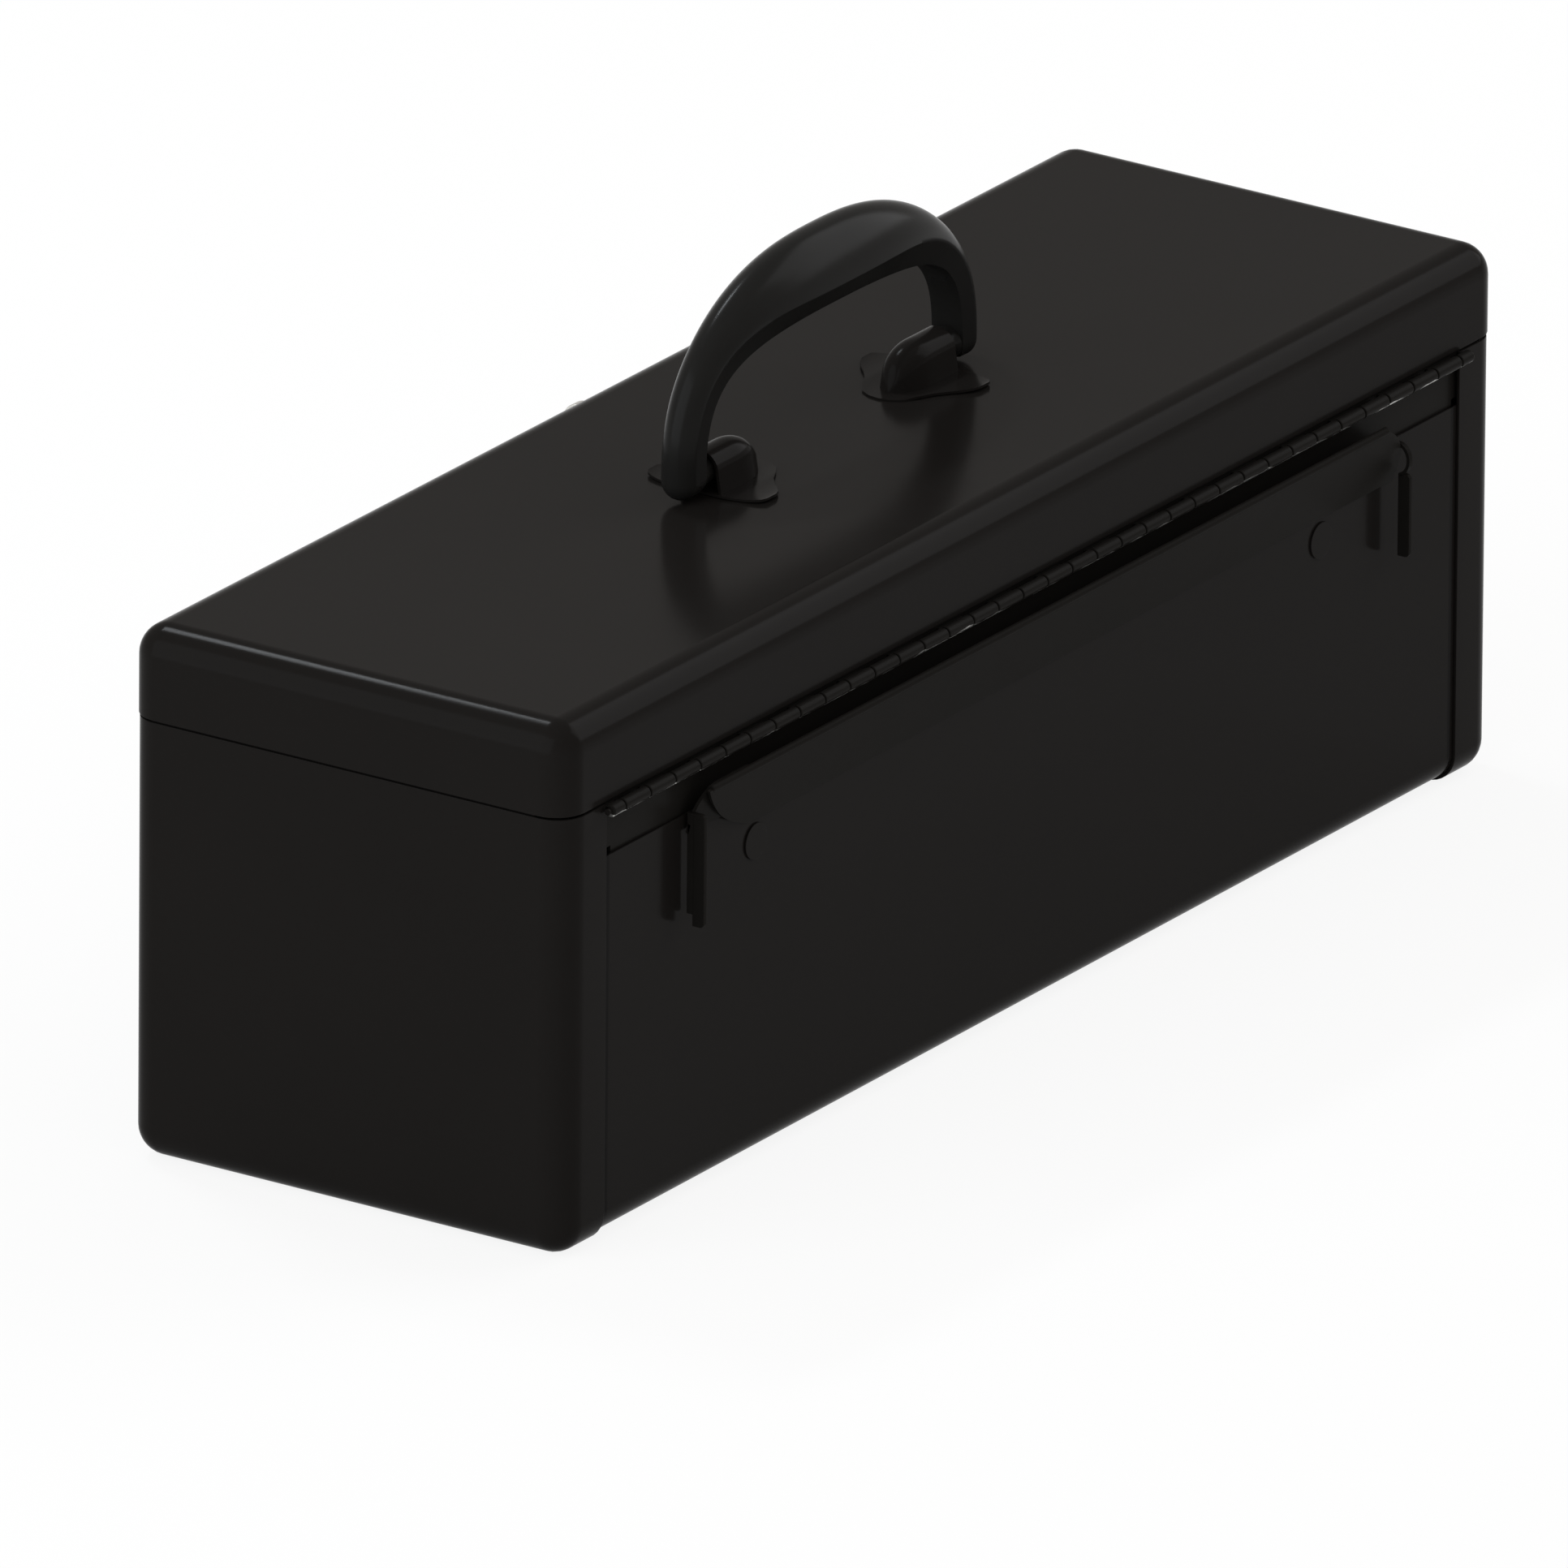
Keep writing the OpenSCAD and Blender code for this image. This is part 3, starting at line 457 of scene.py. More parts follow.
PAINT = Enamel("black_enamel", (0.0102, 0.0091, 0.0084), (0.0086, 0.0078, 0.0073), 0.17,
               0.05, 0.02)
SATIN = Enamel("satin_enamel", (0.0108, 0.0099, 0.0090), (0.0092, 0.0086, 0.0079), 0.3,
               0.06, 0.005)
TRAY_PAINT = Enamel("tray_enamel", (0.040, 0.040, 0.041), (0.032, 0.032, 0.033), 0.33,
                    0.08, 0.2, peel=Pattern(1300, 1, 0.4), peel_depth=5e-6)
PLASTIC = Moulding("black_moulding", (0.0126, 0.0122, 0.0116), (0.0100, 0.0098, 0.0094), 0.22,
                   0.05)
NICKEL = Plate("nickel_plate", (0.66, 0.65, 0.62), (0.56, 0.55, 0.52), 0.27)


# ---------------------------------------------------------------- pieces


class Bench:
    """Takes finished meshes and sets them on the frame as pieces."""

    sharp = math.radians(38)
    flat = math.radians(0.6)

    def __init__(self, frame: dict[str, Any]) -> None:
        """Makes the four finishes once.
        """
        self.nodes: dict[str, bpy.types.Object] = frame["nodes"]
        self.finishes = {
            Slot.PAINT: PAINT.material(),
            Slot.PLASTIC: PLASTIC.material(),
            Slot.STEEL: NICKEL.material(),
            Slot.TRAY: TRAY_PAINT.material(),
        }
        self.slots = {row["node"]: Slot(row["material_slot"])
                      for row in frame["record"]["subparts"]}

    def place(self, mesh: Mesh, name: str, node: str,
              finish: bpy.types.Material | None = None) -> bpy.types.Object:
        """Makes a piece that stands for one node of the frame.

        Args:
            mesh: The finished mesh, which is freed.
            name: The piece's name.
            node: The node that it replaces.
            finish: Its finish, if not the usual one of its slot.

        Returns:
            The piece.
        """
        for edge in mesh.edges:
            edge.smooth = edge.is_manifold and edge.calc_face_angle(0) < self.sharp
        piece = shaded(mesh, name, finish or self.finishes[self.slots[node]])
        weighted = piece.modifiers.new("even_shading", "WEIGHTED_NORMAL")
        weighted.keep_sharp = True
        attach(piece, self.nodes[node]["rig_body"])
        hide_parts(node)
        LOG.info("%s: %d faces", name, len(piece.data.polygons))
        return piece

    def soften(self, node: str, width: float) -> bpy.types.Object:
        """Makes a copy of a node with rounded edges.

        Args:
            node: The node.
            width: The width of the rounding, or 0 for a node that is round already.

        Returns:
            The piece that replaces the node.
        """
        mesh = bmesh.new()
        mesh.from_mesh(self.nodes[node].data)
        bmesh.ops.remove_doubles(mesh, verts=mesh.verts, dist=WELD)
        bmesh.ops.dissolve_limit(mesh, angle_limit=self.flat, verts=mesh.verts, edges=mesh.edges,
                                 use_dissolve_boundaries=False, delimit=set())
        if width:
            bevel(mesh, sharper(mesh.edges, self.sharp), width)
        return self.place(mesh, f"{node}_finished", node)


def added(name: str, data: bpy.types.ID) -> bpy.types.Object:
    """Adds an object to the scene.

    Args:
        name: Its name.
        data: Its mesh, lamp or camera.

    Returns:
        The object.
    """
    made = bpy.data.objects.new(name, data)
    bpy.context.scene.collection.objects.link(made)
    return made


def shaded(mesh: Mesh, name: str, finish: bpy.types.Material) -> bpy.types.Object:
    """Makes a smooth-shaded object from a mesh.

    Args:
        mesh: The mesh, which is freed.
        name: The object's name.
        finish: Its finish.

    Returns:
        The object.
    """
    for face in mesh.faces:
        face.smooth = True
    data = bpy.data.meshes.new(name)
    mesh.to_mesh(data)
    mesh.free()
    data.materials.append(finish)
    return added(name, data)


def only(geom: Iterable[Any], kind: type) -> list[Any]:
    """Returns the elements of one kind."""
    return [g for g in geom if isinstance(g, kind)]


def edges_of(verts: Iterable[Vert]) -> list[Edge]:
    """Returns the edges that meet in some vertices, each once."""
    return list(dict.fromkeys(e for v in verts for e in v.link_edges))


def sharper(edges: Iterable[Edge], angle: float) -> list[Edge]:
    """Returns the edges whose two faces meet at more than an angle."""
    return [e for e in edges if e.is_manifold and e.calc_face_angle(0) > angle]


def bevel(mesh: Mesh, geom: Iterable[Any], width: float, segments: int = 2,
          affect: str = "EDGES") -> None:
    """Rounds edges, or corners where VERTICES are affected, in a number of segments."""
    bmesh.ops.bevel(mesh, geom=list(geom), offset=width, offset_type="OFFSET", segments=segments,
                    profile=0.5, affect=affect, material=-1, clamp_overlap=True, loop_slide=True)


def box_mesh(mesh: Mesh, low: Vector, high: Vector) -> list[Vert]:
    """Adds a box.

    Args:
        mesh: The mesh.
        low: Its lowest corner.
        high: Its highest corner.

    Returns:
        Its vertices.
    """
    verts = bmesh.ops.create_cube(mesh, size=1)["verts"]
    bmesh.ops.scale(mesh, vec=high - low, verts=verts)
    bmesh.ops.translate(mesh, vec=(low + high) / 2, verts=verts)
    return verts


def rod_mesh(mesh: Mesh, start: Vector, end: Vector, radius: float, sides: int, soft: float,
             soft_steps: int = 3) -> None:
    """Adds a round bar.

    Args:
        mesh: The mesh.
        start: The middle of one end.
        end: The middle of the other.
        radius: The bar's radius.
        sides: Its number of sides.
        soft: The rounding of its end edges.
        soft_steps: The rounding's number of steps.
    """
    along = end - start
    turn = Z.rotation_difference(along).to_matrix().to_4x4()
    verts = bmesh.ops.create_cone(mesh, cap_ends=True, segments=sides, radius1=radius,
                                  radius2=radius, depth=along.length)["verts"]
    bmesh.ops.transform(mesh, matrix=Matrix.Translation((start + end) / 2) @ turn, verts=verts)
    caps = [f for f in dict.fromkeys(f for v in verts for f in v.link_faces)
            if len(f.verts) == sides]
    bevel(mesh, [e for f in caps for e in f.edges], soft, soft_steps)


def ruled(mesh: Mesh, rows: Sequence[tuple[Vector, Vector]]) -> list[Face]:
    """Draws a sheet through rows of straight lines, each drawn out of the one before.

    Args:
        mesh: The mesh.
        rows: The two ends of each line.

    Returns:
        The sheet's faces.
    """
    ends = [bmesh.ops.create_vert(mesh, co=p)["vert"][0] for p in rows[0]]
    edge = bmesh.ops.contextual_create(mesh, geom=ends)["edges"][0]
    faces: list[Face] = []
    for start, end in rows[1:]:
        drawn = bmesh.ops.extrude_edge_only(mesh, edges=[edge])["geom"]
        new = only(drawn, Vert)
        faces += only(drawn, Face)
        first = next(v for v in new if any(e.other_vert(v) == ends[0] for e in v.link_edges))
        second = next(v for v in new if v is not first)
        bmesh.ops.translate(mesh, vec=start - first.co, verts=[first])
        bmesh.ops.translate(mesh, vec=end - second.co, verts=[second])
        ends = [first, second]
        edge = next(e for e in first.link_edges if e.other_vert(first) == second)
    return faces


def thicken(mesh: Mesh, faces: Sequence[Face], outward: Vector, thickness: float) -> None:
    """Gives a sheet its thickness, away from its outer side.

    Args:
        mesh: The mesh.
        faces: The sheet's faces.
        outward: A direction on its outer side.
        thickness: The thickness.
    """
    mesh.normal_update()
    turned = [f for f in faces if f.normal.dot(outward) < 0]
    bmesh.ops.reverse_faces(mesh, faces=turned)
    mesh.normal_update()
    bmesh.ops.solidify(mesh, geom=faces, thickness=thickness)


def loft(mesh: Mesh, section: Sequence[Edge], stations: Sequence[Matrix], closed: bool) -> None:
    """Draws a chain or ring of edges through a row of places.

    Args:
        mesh: The mesh.
        section: The edges, as they lie round the origin.
        stations: Where each section goes, with its turn and scale.
        closed: Whether the two ends get a cap.
    """
    edges = list(section)
    verts = list(dict.fromkeys(v for e in edges for v in e.verts))
    bmesh.ops.transform(mesh, matrix=stations[0], verts=verts)
    if closed:
        bmesh.ops.contextual_create(mesh, geom=edges)
    for before, after in zip(stations, stations[1:]):
        drawn = bmesh.ops.extrude_edge_only(mesh, edges=edges)["geom"]
        verts = only(drawn, Vert)
        own = set(verts)
        edges = [e for e in only(drawn, Edge) if own.issuperset(e.verts)]
        bmesh.ops.transform(mesh, matrix=after @ before.inverted(), verts=verts)
    if closed:
        bmesh.ops.contextual_create(mesh, geom=edges)


def station(place: Vector, side: Vector, up: Vector, wide: float, high: float) -> Matrix:
    """Returns what brings a unit section to a place, turned and at its half sizes."""
    turn = Matrix((side, up, side.cross(up))).transposed().to_4x4()
    return Matrix.Translation(place) @ turn @ Matrix.Diagonal((wide, high, 1, 1))


def tidy(mesh: Mesh) -> None:
    """Merges doubles and turns the normals outwards."""
    bmesh.ops.remove_doubles(mesh, verts=mesh.verts, dist=WELD)
    bmesh.ops.recalc_face_normals(mesh, faces=mesh.faces)


# ---------------------------------------------------------------- sheet steel case


@dataclass
class PressedShells:
    """The lid, the two end caps and the wrapped body, pressed from sheet."""

    bench: Bench
    sheet: float = 1.0 * MM
    radius: float = 9.5 * MM
    steps: int = 9
    eased: float = 0.25 * MM
    cut_edge: float = math.radians(60)
    lid_gap: float = 0.3 * MM
    hinge_lap: float = 8 * MM
    # The band of painted shadow beside each end seam: its two distances in from the seam.
    seam_shade_in: float = 3.0 * MM
    seam_shade_out: float = 1.0 * MM

    def _pan(self, low: Vector, high: Vector, opening: Vector, radius: float,
             rounded: Sequence[Vector]) -> Mesh:
        """Presses an open box.

        Args:
            low: Its lowest corner.
            high: Its highest corner.
            opening: The direction of its open side.
            radius: The radius of its rounded edges.
            rounded: The directions along which rounded edges run.

        Returns:
            The box, still without a thickness.
        """
        mesh = bmesh.new()
        box_mesh(mesh, low, high)
        mesh.normal_update()
        away = [f for f in mesh.faces if f.normal.dot(opening) > PARALLEL]
        bmesh.ops.delete(mesh, geom=away, context="FACES")
        edges = [e for e in mesh.edges if not e.is_boundary and any(
            abs((e.verts[0].co - e.verts[1].co).normalized().dot(d)) > PARALLEL for d in rounded)]
        bevel(mesh, edges, radius, self.steps)
        return mesh

    def _thicken(self, mesh: Mesh) -> None:
        """Gives a pressed sheet its thickness, inwards, and eases its cut edges.

        Args:
            mesh: The sheet.
        """
        mesh.normal_update()
        bmesh.ops.solidify(mesh, geom=mesh.faces[:], thickness=self.sheet)
        bevel(mesh, sharper(mesh.edges, self.cut_edge), self.eased)

    def lid(self) -> None:
        """Makes the lid."""
        low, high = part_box("lid_shell")
        mesh = self._pan(low, high, -Z, self.radius, (X, Y, Z))
        self._thicken(mesh)
        self.bench.place(mesh, "lid_pressing", "lid_shell")

    def cap(self, node: str, outward: Vector) -> None:
        """Makes an end cap.

        Args:
            node: The cap's node.
            outward: The direction of its face.
        """
        low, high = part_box(node)
        high = high - Z * self.lid_gap
        seam = Vector((low.x if outward.x > 0 else high.x, 0, 0))
        back = -outward * (high.x - low.x) * 2
        mesh = self._pan(Vector(map(min, low, low + back)), Vector(map(max, high, high + back)),
                         Z, self.radius, (X, Y, Z))
        bmesh.ops.bisect_plane(mesh, geom=mesh.verts[:] + mesh.edges[:] + mesh.faces[:],
                               plane_co=seam, plane_no=-outward, clear_outer=True)
        self._thicken(mesh)
        self.bench.place(mesh, f"{node}_pressing", node)

    def wrap(self) -> None:
        """Makes the sheet that is wrapped round front, bottom and rear."""
        low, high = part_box("body_wrap")
        high = high - Z * self.lid_gap
        rear_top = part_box("hinge_leaf_lower")[0].z + self.hinge_lap
        mesh = self._pan(low, high, Z, self.radius - self.sheet, (X,))
        ends = [f for f in mesh.faces if abs(f.normal.x) > PARALLEL]
        bmesh.ops.delete(mesh, geom=ends, context="FACES")
        top = [v for v in mesh.verts if v.co.y > 0 and v.co.z > high.z - WELD]
        bmesh.ops.translate(mesh, vec=Z * (rear_top - high.z), verts=top)
        self._thicken(mesh)
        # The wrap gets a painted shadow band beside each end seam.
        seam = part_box("end_cap_right")[0].x
        finish = replace(PAINT, name="wrap_enamel_painted_seam_shade",
                         seam_shade=(seam - self.seam_shade_in, seam - self.seam_shade_out))
        self.bench.place(mesh, "body_wrap_sheet", "body_wrap", finish.material())

    def build(self) -> None:
        """Makes the four shells."""
        self.lid()
        self.cap("end_cap_left", -X)
        self.cap("end_cap_right", X)
        self.wrap()


@dataclass
class PianoHinge:
    """The long hinge: the knuckles of its two leaves take turns along one pin."""

    bench: Bench
    pitch: float = 12.7 * MM
    sides: int = 28
    leaf: float = 0.9 * MM
    gap: float = 0.6 * MM
    soft: float = 0.3 * MM
    end_room: float = 0.5 * MM
    gloss: float = 0.015
    # The top of the painted glint band of bright bare metal, this far below the pin.
    glint_below_axis: float = 0.95 * MM
    notch: float = 4.7 * MM
    slit: float = 1.2 * MM
    notch_high: float = 9.9 * MM

    def build(self) -> None:
        """Makes the two leaves."""
        low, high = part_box("hinge_pin")
        axis = (low + high) / 2
        low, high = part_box("hinge_leaf_lower")
        radius = high.y - axis.y
        full = round((high.x - low.x) / self.pitch)
        marks = [low.x] + [low.x + self.pitch * (k + 0.5) for k in range(full)] + [high.x]
        knuckles = list(zip(marks, marks[1:]))
        # The knuckles' undersides get a painted glint band of bright bare metal.
        finish = replace(SATIN, name="hinge_enamel_painted_glints", gloss=self.gloss,
                         glint_band=(axis.z - radius, axis.z - self.glint_below_axis)).material()
        self._leaf("hinge_leaf_lower", knuckles[::2], axis, radius, axis.z - radius, finish)
        self._leaf("hinge_leaf_upper", knuckles[1::2], axis, radius, axis.z, finish)

    def _leaf(self, node: str, knuckles: Sequence[tuple[float, float]], axis: Vector,
              radius: float, web_z: float, finish: bpy.types.Material) -> None:
        """Makes one leaf with its knuckles.

        Args:
            node: The leaf's node.
            knuckles: The two ends of each knuckle along X.
            axis: The pin's middle.
            radius: The knuckles' radius.
            web_z: The lower face of the webs that join knuckles and leaf.
            finish: The leaf's finish.
        """
        low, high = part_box(node)
        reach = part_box("body_wrap")[1].x - self.end_room
        face_y, web_top = low.y + self.leaf, web_z + self.leaf
        mesh = bmesh.new()
        for start, end in knuckles:
            start, end = start + self.gap / 2, end - self.gap / 2
            rod_mesh(mesh, Vector((start, axis.y, axis.z)), Vector((end, axis.y, axis.z)), radius,
                     self.sides, self.soft)
            box_mesh(mesh, Vector((max(start, -reach), low.y, web_z)),
                     Vector((min(end, reach), axis.y, web_top)))
        if node == "hinge_leaf_upper":
            box_mesh(mesh, Vector((-reach, low.y, web_z)), Vector((reach, face_y, high.z)))
        else:
            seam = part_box("end_cap_right")[0].x
            step = low.z + self.notch_high
            box_mesh(mesh, Vector((-reach, low.y, step)), Vector((reach, face_y, web_top)))
            box_mesh(mesh, Vector((self.slit - seam, low.y, low.z)),
                     Vector((seam - self.notch, face_y, step)))
        self.bench.place(mesh, f"{node}_rolled", node, finish)


@dataclass
class LidStop:
    """The rolled and slanted stop along the rear wall, with its two ears.

    The slope is straight in the share of that name and for the rest curls up by a power.
    Its edge lies past the middle of the hem by hem_tuck of the hem's radius.
    """

    bench: Bench
    sheet: float = 1.0 * MM
    cut: float = 30 * MM
    cut_in: float = 2 * MM
    end_round: float = 13 * MM
    lift: float = 0.7 * MM
    straight: float = 0.55
    curl: int = 3
    hem: float = 1.2 * MM
    hem_short: float = 4 * MM
    hem_sides: int = 24
    hem_soft: float = 0.35 * MM
    hem_tuck: float = 0.9
    wing_corner: float = 11 * MM
    wing_steps: int = 8
    wing_drop: float = 13.4 * MM
    wing_lap: float = 4 * MM
    wing_back: float = 1.4 * MM
    ear: float = 1.6 * MM
    ear_deep: float = 4 * MM
    ear_back: float = 0.6 * MM
    ear_high: float = 34.3 * MM
    ear_low: float = 23.8 * MM
    ear_drop: float = 1.6 * MM
    ear_corner: float = 1.4 * MM
    corner_steps: int = 4
    eased: float = 0.25 * MM
    cut_edge: float = math.radians(50)
    rim_in: float = 5.1 * MM
    rim_up: float = 28.0 * MM
    rim_deep: float = 3.9 * MM
    rim_tall: float = 4.7 * MM
    rim_wide: float = 1.0 * MM
    rim_arc: tuple[float, float] = (-70, 120)
    foot_rise: float = 1.5 * MM
    web_off: float = 1.4 * MM
    web_rise: float = 3.5 * MM
    web_soft: float = 0.3 * MM
    steps: int = 14

    def build(self) -> None:
        """Makes the stop as one piece."""
        low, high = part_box("lid_stop")
        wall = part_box("body_wrap")[1].y
        middle = (low.x + high.x) / 2
        half = (high.x - low.x) / 2
        left, right = middle - half, middle + half
        hem_y, hem_z = high.y - self.hem, high.z - self.hem
        foot_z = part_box("stop_rivets")[1].z + self.foot_rise
        mesh = bmesh.new()
        self._slope(mesh, middle, half, wall, Vector((0, hem_y, hem_z)), foot_z)
        rod_mesh(mesh, Vector((left + self.end_round, hem_y, hem_z)),
                 Vector((right - self.hem_short, hem_y, hem_z)), self.hem, self.hem_sides,
                 self.hem_soft)
        self._wing(mesh, right, hem_y - self.wing_back, hem_z, wall, foot_z)
        self._ear(mesh, right - self.ear, high.y, low.z, self.ear_high)
        self._ear(mesh, left, high.y, low.z - self.ear_drop, self.ear_low + self.ear_drop)
        self._rim(mesh, Vector((left + self.ear / 2, high.y - self.rim_in, low.z + self.rim_up)))
        web = box_mesh(mesh, Vector((right - self.ear, wall + self.web_off,
                                     low.z + self.web_rise)),
                       Vector((right, high.y - self.ear_deep, low.z + self.ear_high)))
        bevel(mesh, edges_of(web), self.web_soft)
        self.bench.place(mesh, "lid_stop_rolled", "lid_stop", SATIN.material())

    def _slope(self, mesh: Mesh, middle: float, half: float, wall: float, hem: Vector,
               foot_z: float) -> None:
        """Draws the slanted sheet, cut back on the right and rounded off on the left.

        Args:
            mesh: The mesh.
            middle: The stop's middle along X.
            half: Its half length.
            wall: The wall's outer face.
            hem: The hem's middle, in Y and Z.
            foot_z: Where the sheet leaves the wall.
        """
        rise = hem.z - foot_z
        reach = hem.y + self.hem * self.hem_tuck - wall - self.lift
        rows = []
        for step in range(self.steps + 1):
            t = step / self.steps
            up = self.straight * t + (1 - self.straight) * t ** self.curl
            far = half - self.end_round * up ** self.curl
            near = half - self.cut_in - self.cut * (1 - t)
            y, z = wall + self.lift + reach * up, foot_z + rise * up
            rows.append((Vector((middle - far, y, z)), Vector((middle + near, y, z))))
        thicken(mesh, ruled(mesh, rows), Y, self.sheet)

    def _wing(self, mesh: Mesh, end: float, top_y: float, top_z: float, wall: float,
              foot_z: float) -> None:
        """Adds the recessed wing that joins the right ear to the stop, with one round corner.

        Args:
            mesh: The mesh.
            end: The wing's outer end along X.
            top_y: The wing's Y at its top.
            top_z: The wing's top.
            wall: The wall's outer face.
            foot_z: Where the stop leaves the wall.
        """
        slope = (top_y - wall) / (top_z - foot_z)
        inner = end - self.cut + self.wing_lap
        low_y, low_z = top_y - slope * self.wing_drop, top_z - self.wing_drop
        faces = ruled(mesh, [(Vector((inner, low_y, low_z)), Vector((end, low_y, low_z))),
                             (Vector((inner, top_y, top_z)), Vector((end, top_y, top_z)))])
        corner = max((v for v in faces[0].verts if v.co.z > low_z + WELD), key=lambda v: v.co.x)
        bevel(mesh, [corner], self.wing_corner, self.wing_steps, "VERTICES")
        faces = [f for f in mesh.faces if any(v.is_boundary for v in f.verts)
                 and all(v.co.z >= low_z - WELD and v.co.x >= inner - WELD for v in f.verts)]
        thicken(mesh, faces, Y, self.sheet)

    def _rim(self, mesh: Mesh, middle: Vector) -> None:
        """Adds the narrow bent rim that closes the left end above its ear.

        Args:
            mesh: The mesh.
            middle: The middle of its arc.
        """
        before = set(mesh.faces)
        ring = bmesh.ops.create_circle(mesh, segments=4, radius=math.sqrt(2))["verts"]
        bmesh.ops.rotate(mesh, verts=ring, matrix=Matrix.Rotation(math.pi / 4, 3, "Z"))
        stations = []
        for step in range(self.steps + 1):
            share = step / self.steps
            angle = math.radians(self.rim_arc[0] * (1 - share) + self.rim_arc[1] * share)
            outward = Vector((0, math.cos(angle), math.sin(angle)))
            place = middle + Vector((0, outward.y * self.rim_deep, outward.z * self.rim_tall))
            stations.append(station(place, X, outward, self.ear / 2, self.rim_wide / 2))
        loft(mesh, edges_of(ring), stations, True)
        bmesh.ops.recalc_face_normals(mesh, faces=[f for f in mesh.faces if f not in before])

    def _ear(self, mesh: Mesh, start: float, out_y: float, low_z: float, tall: float) -> None:
        """Adds an ear, with two round corners on its outer edge and eased edges.

        Args:
            mesh: The mesh.
            start: The ear's left face along X.
            out_y: The stop's outermost Y.
            low_z: The ear's lower end.
            tall: The ear's height.
        """
        edge_y = out_y - self.ear_back
        verts = box_mesh(mesh, Vector((start, edge_y - self.ear_deep, low_z)),
                         Vector((start + self.ear, edge_y, low_z + tall)))
        corners = [e for e in edges_of(verts) if all(v.co.y > edge_y - WELD for v in e.verts)
                   and abs(e.verts[0].co.z - e.verts[1].co.z) < WELD]
        bevel(mesh, corners, self.ear_corner, self.corner_steps)
        around = [v for old in verts if old.is_valid for f in old.link_faces for v in f.verts]
        bevel(mesh, sharper(edges_of(around), self.cut_edge), self.eased)


# ---------------------------------------------------------------- handle


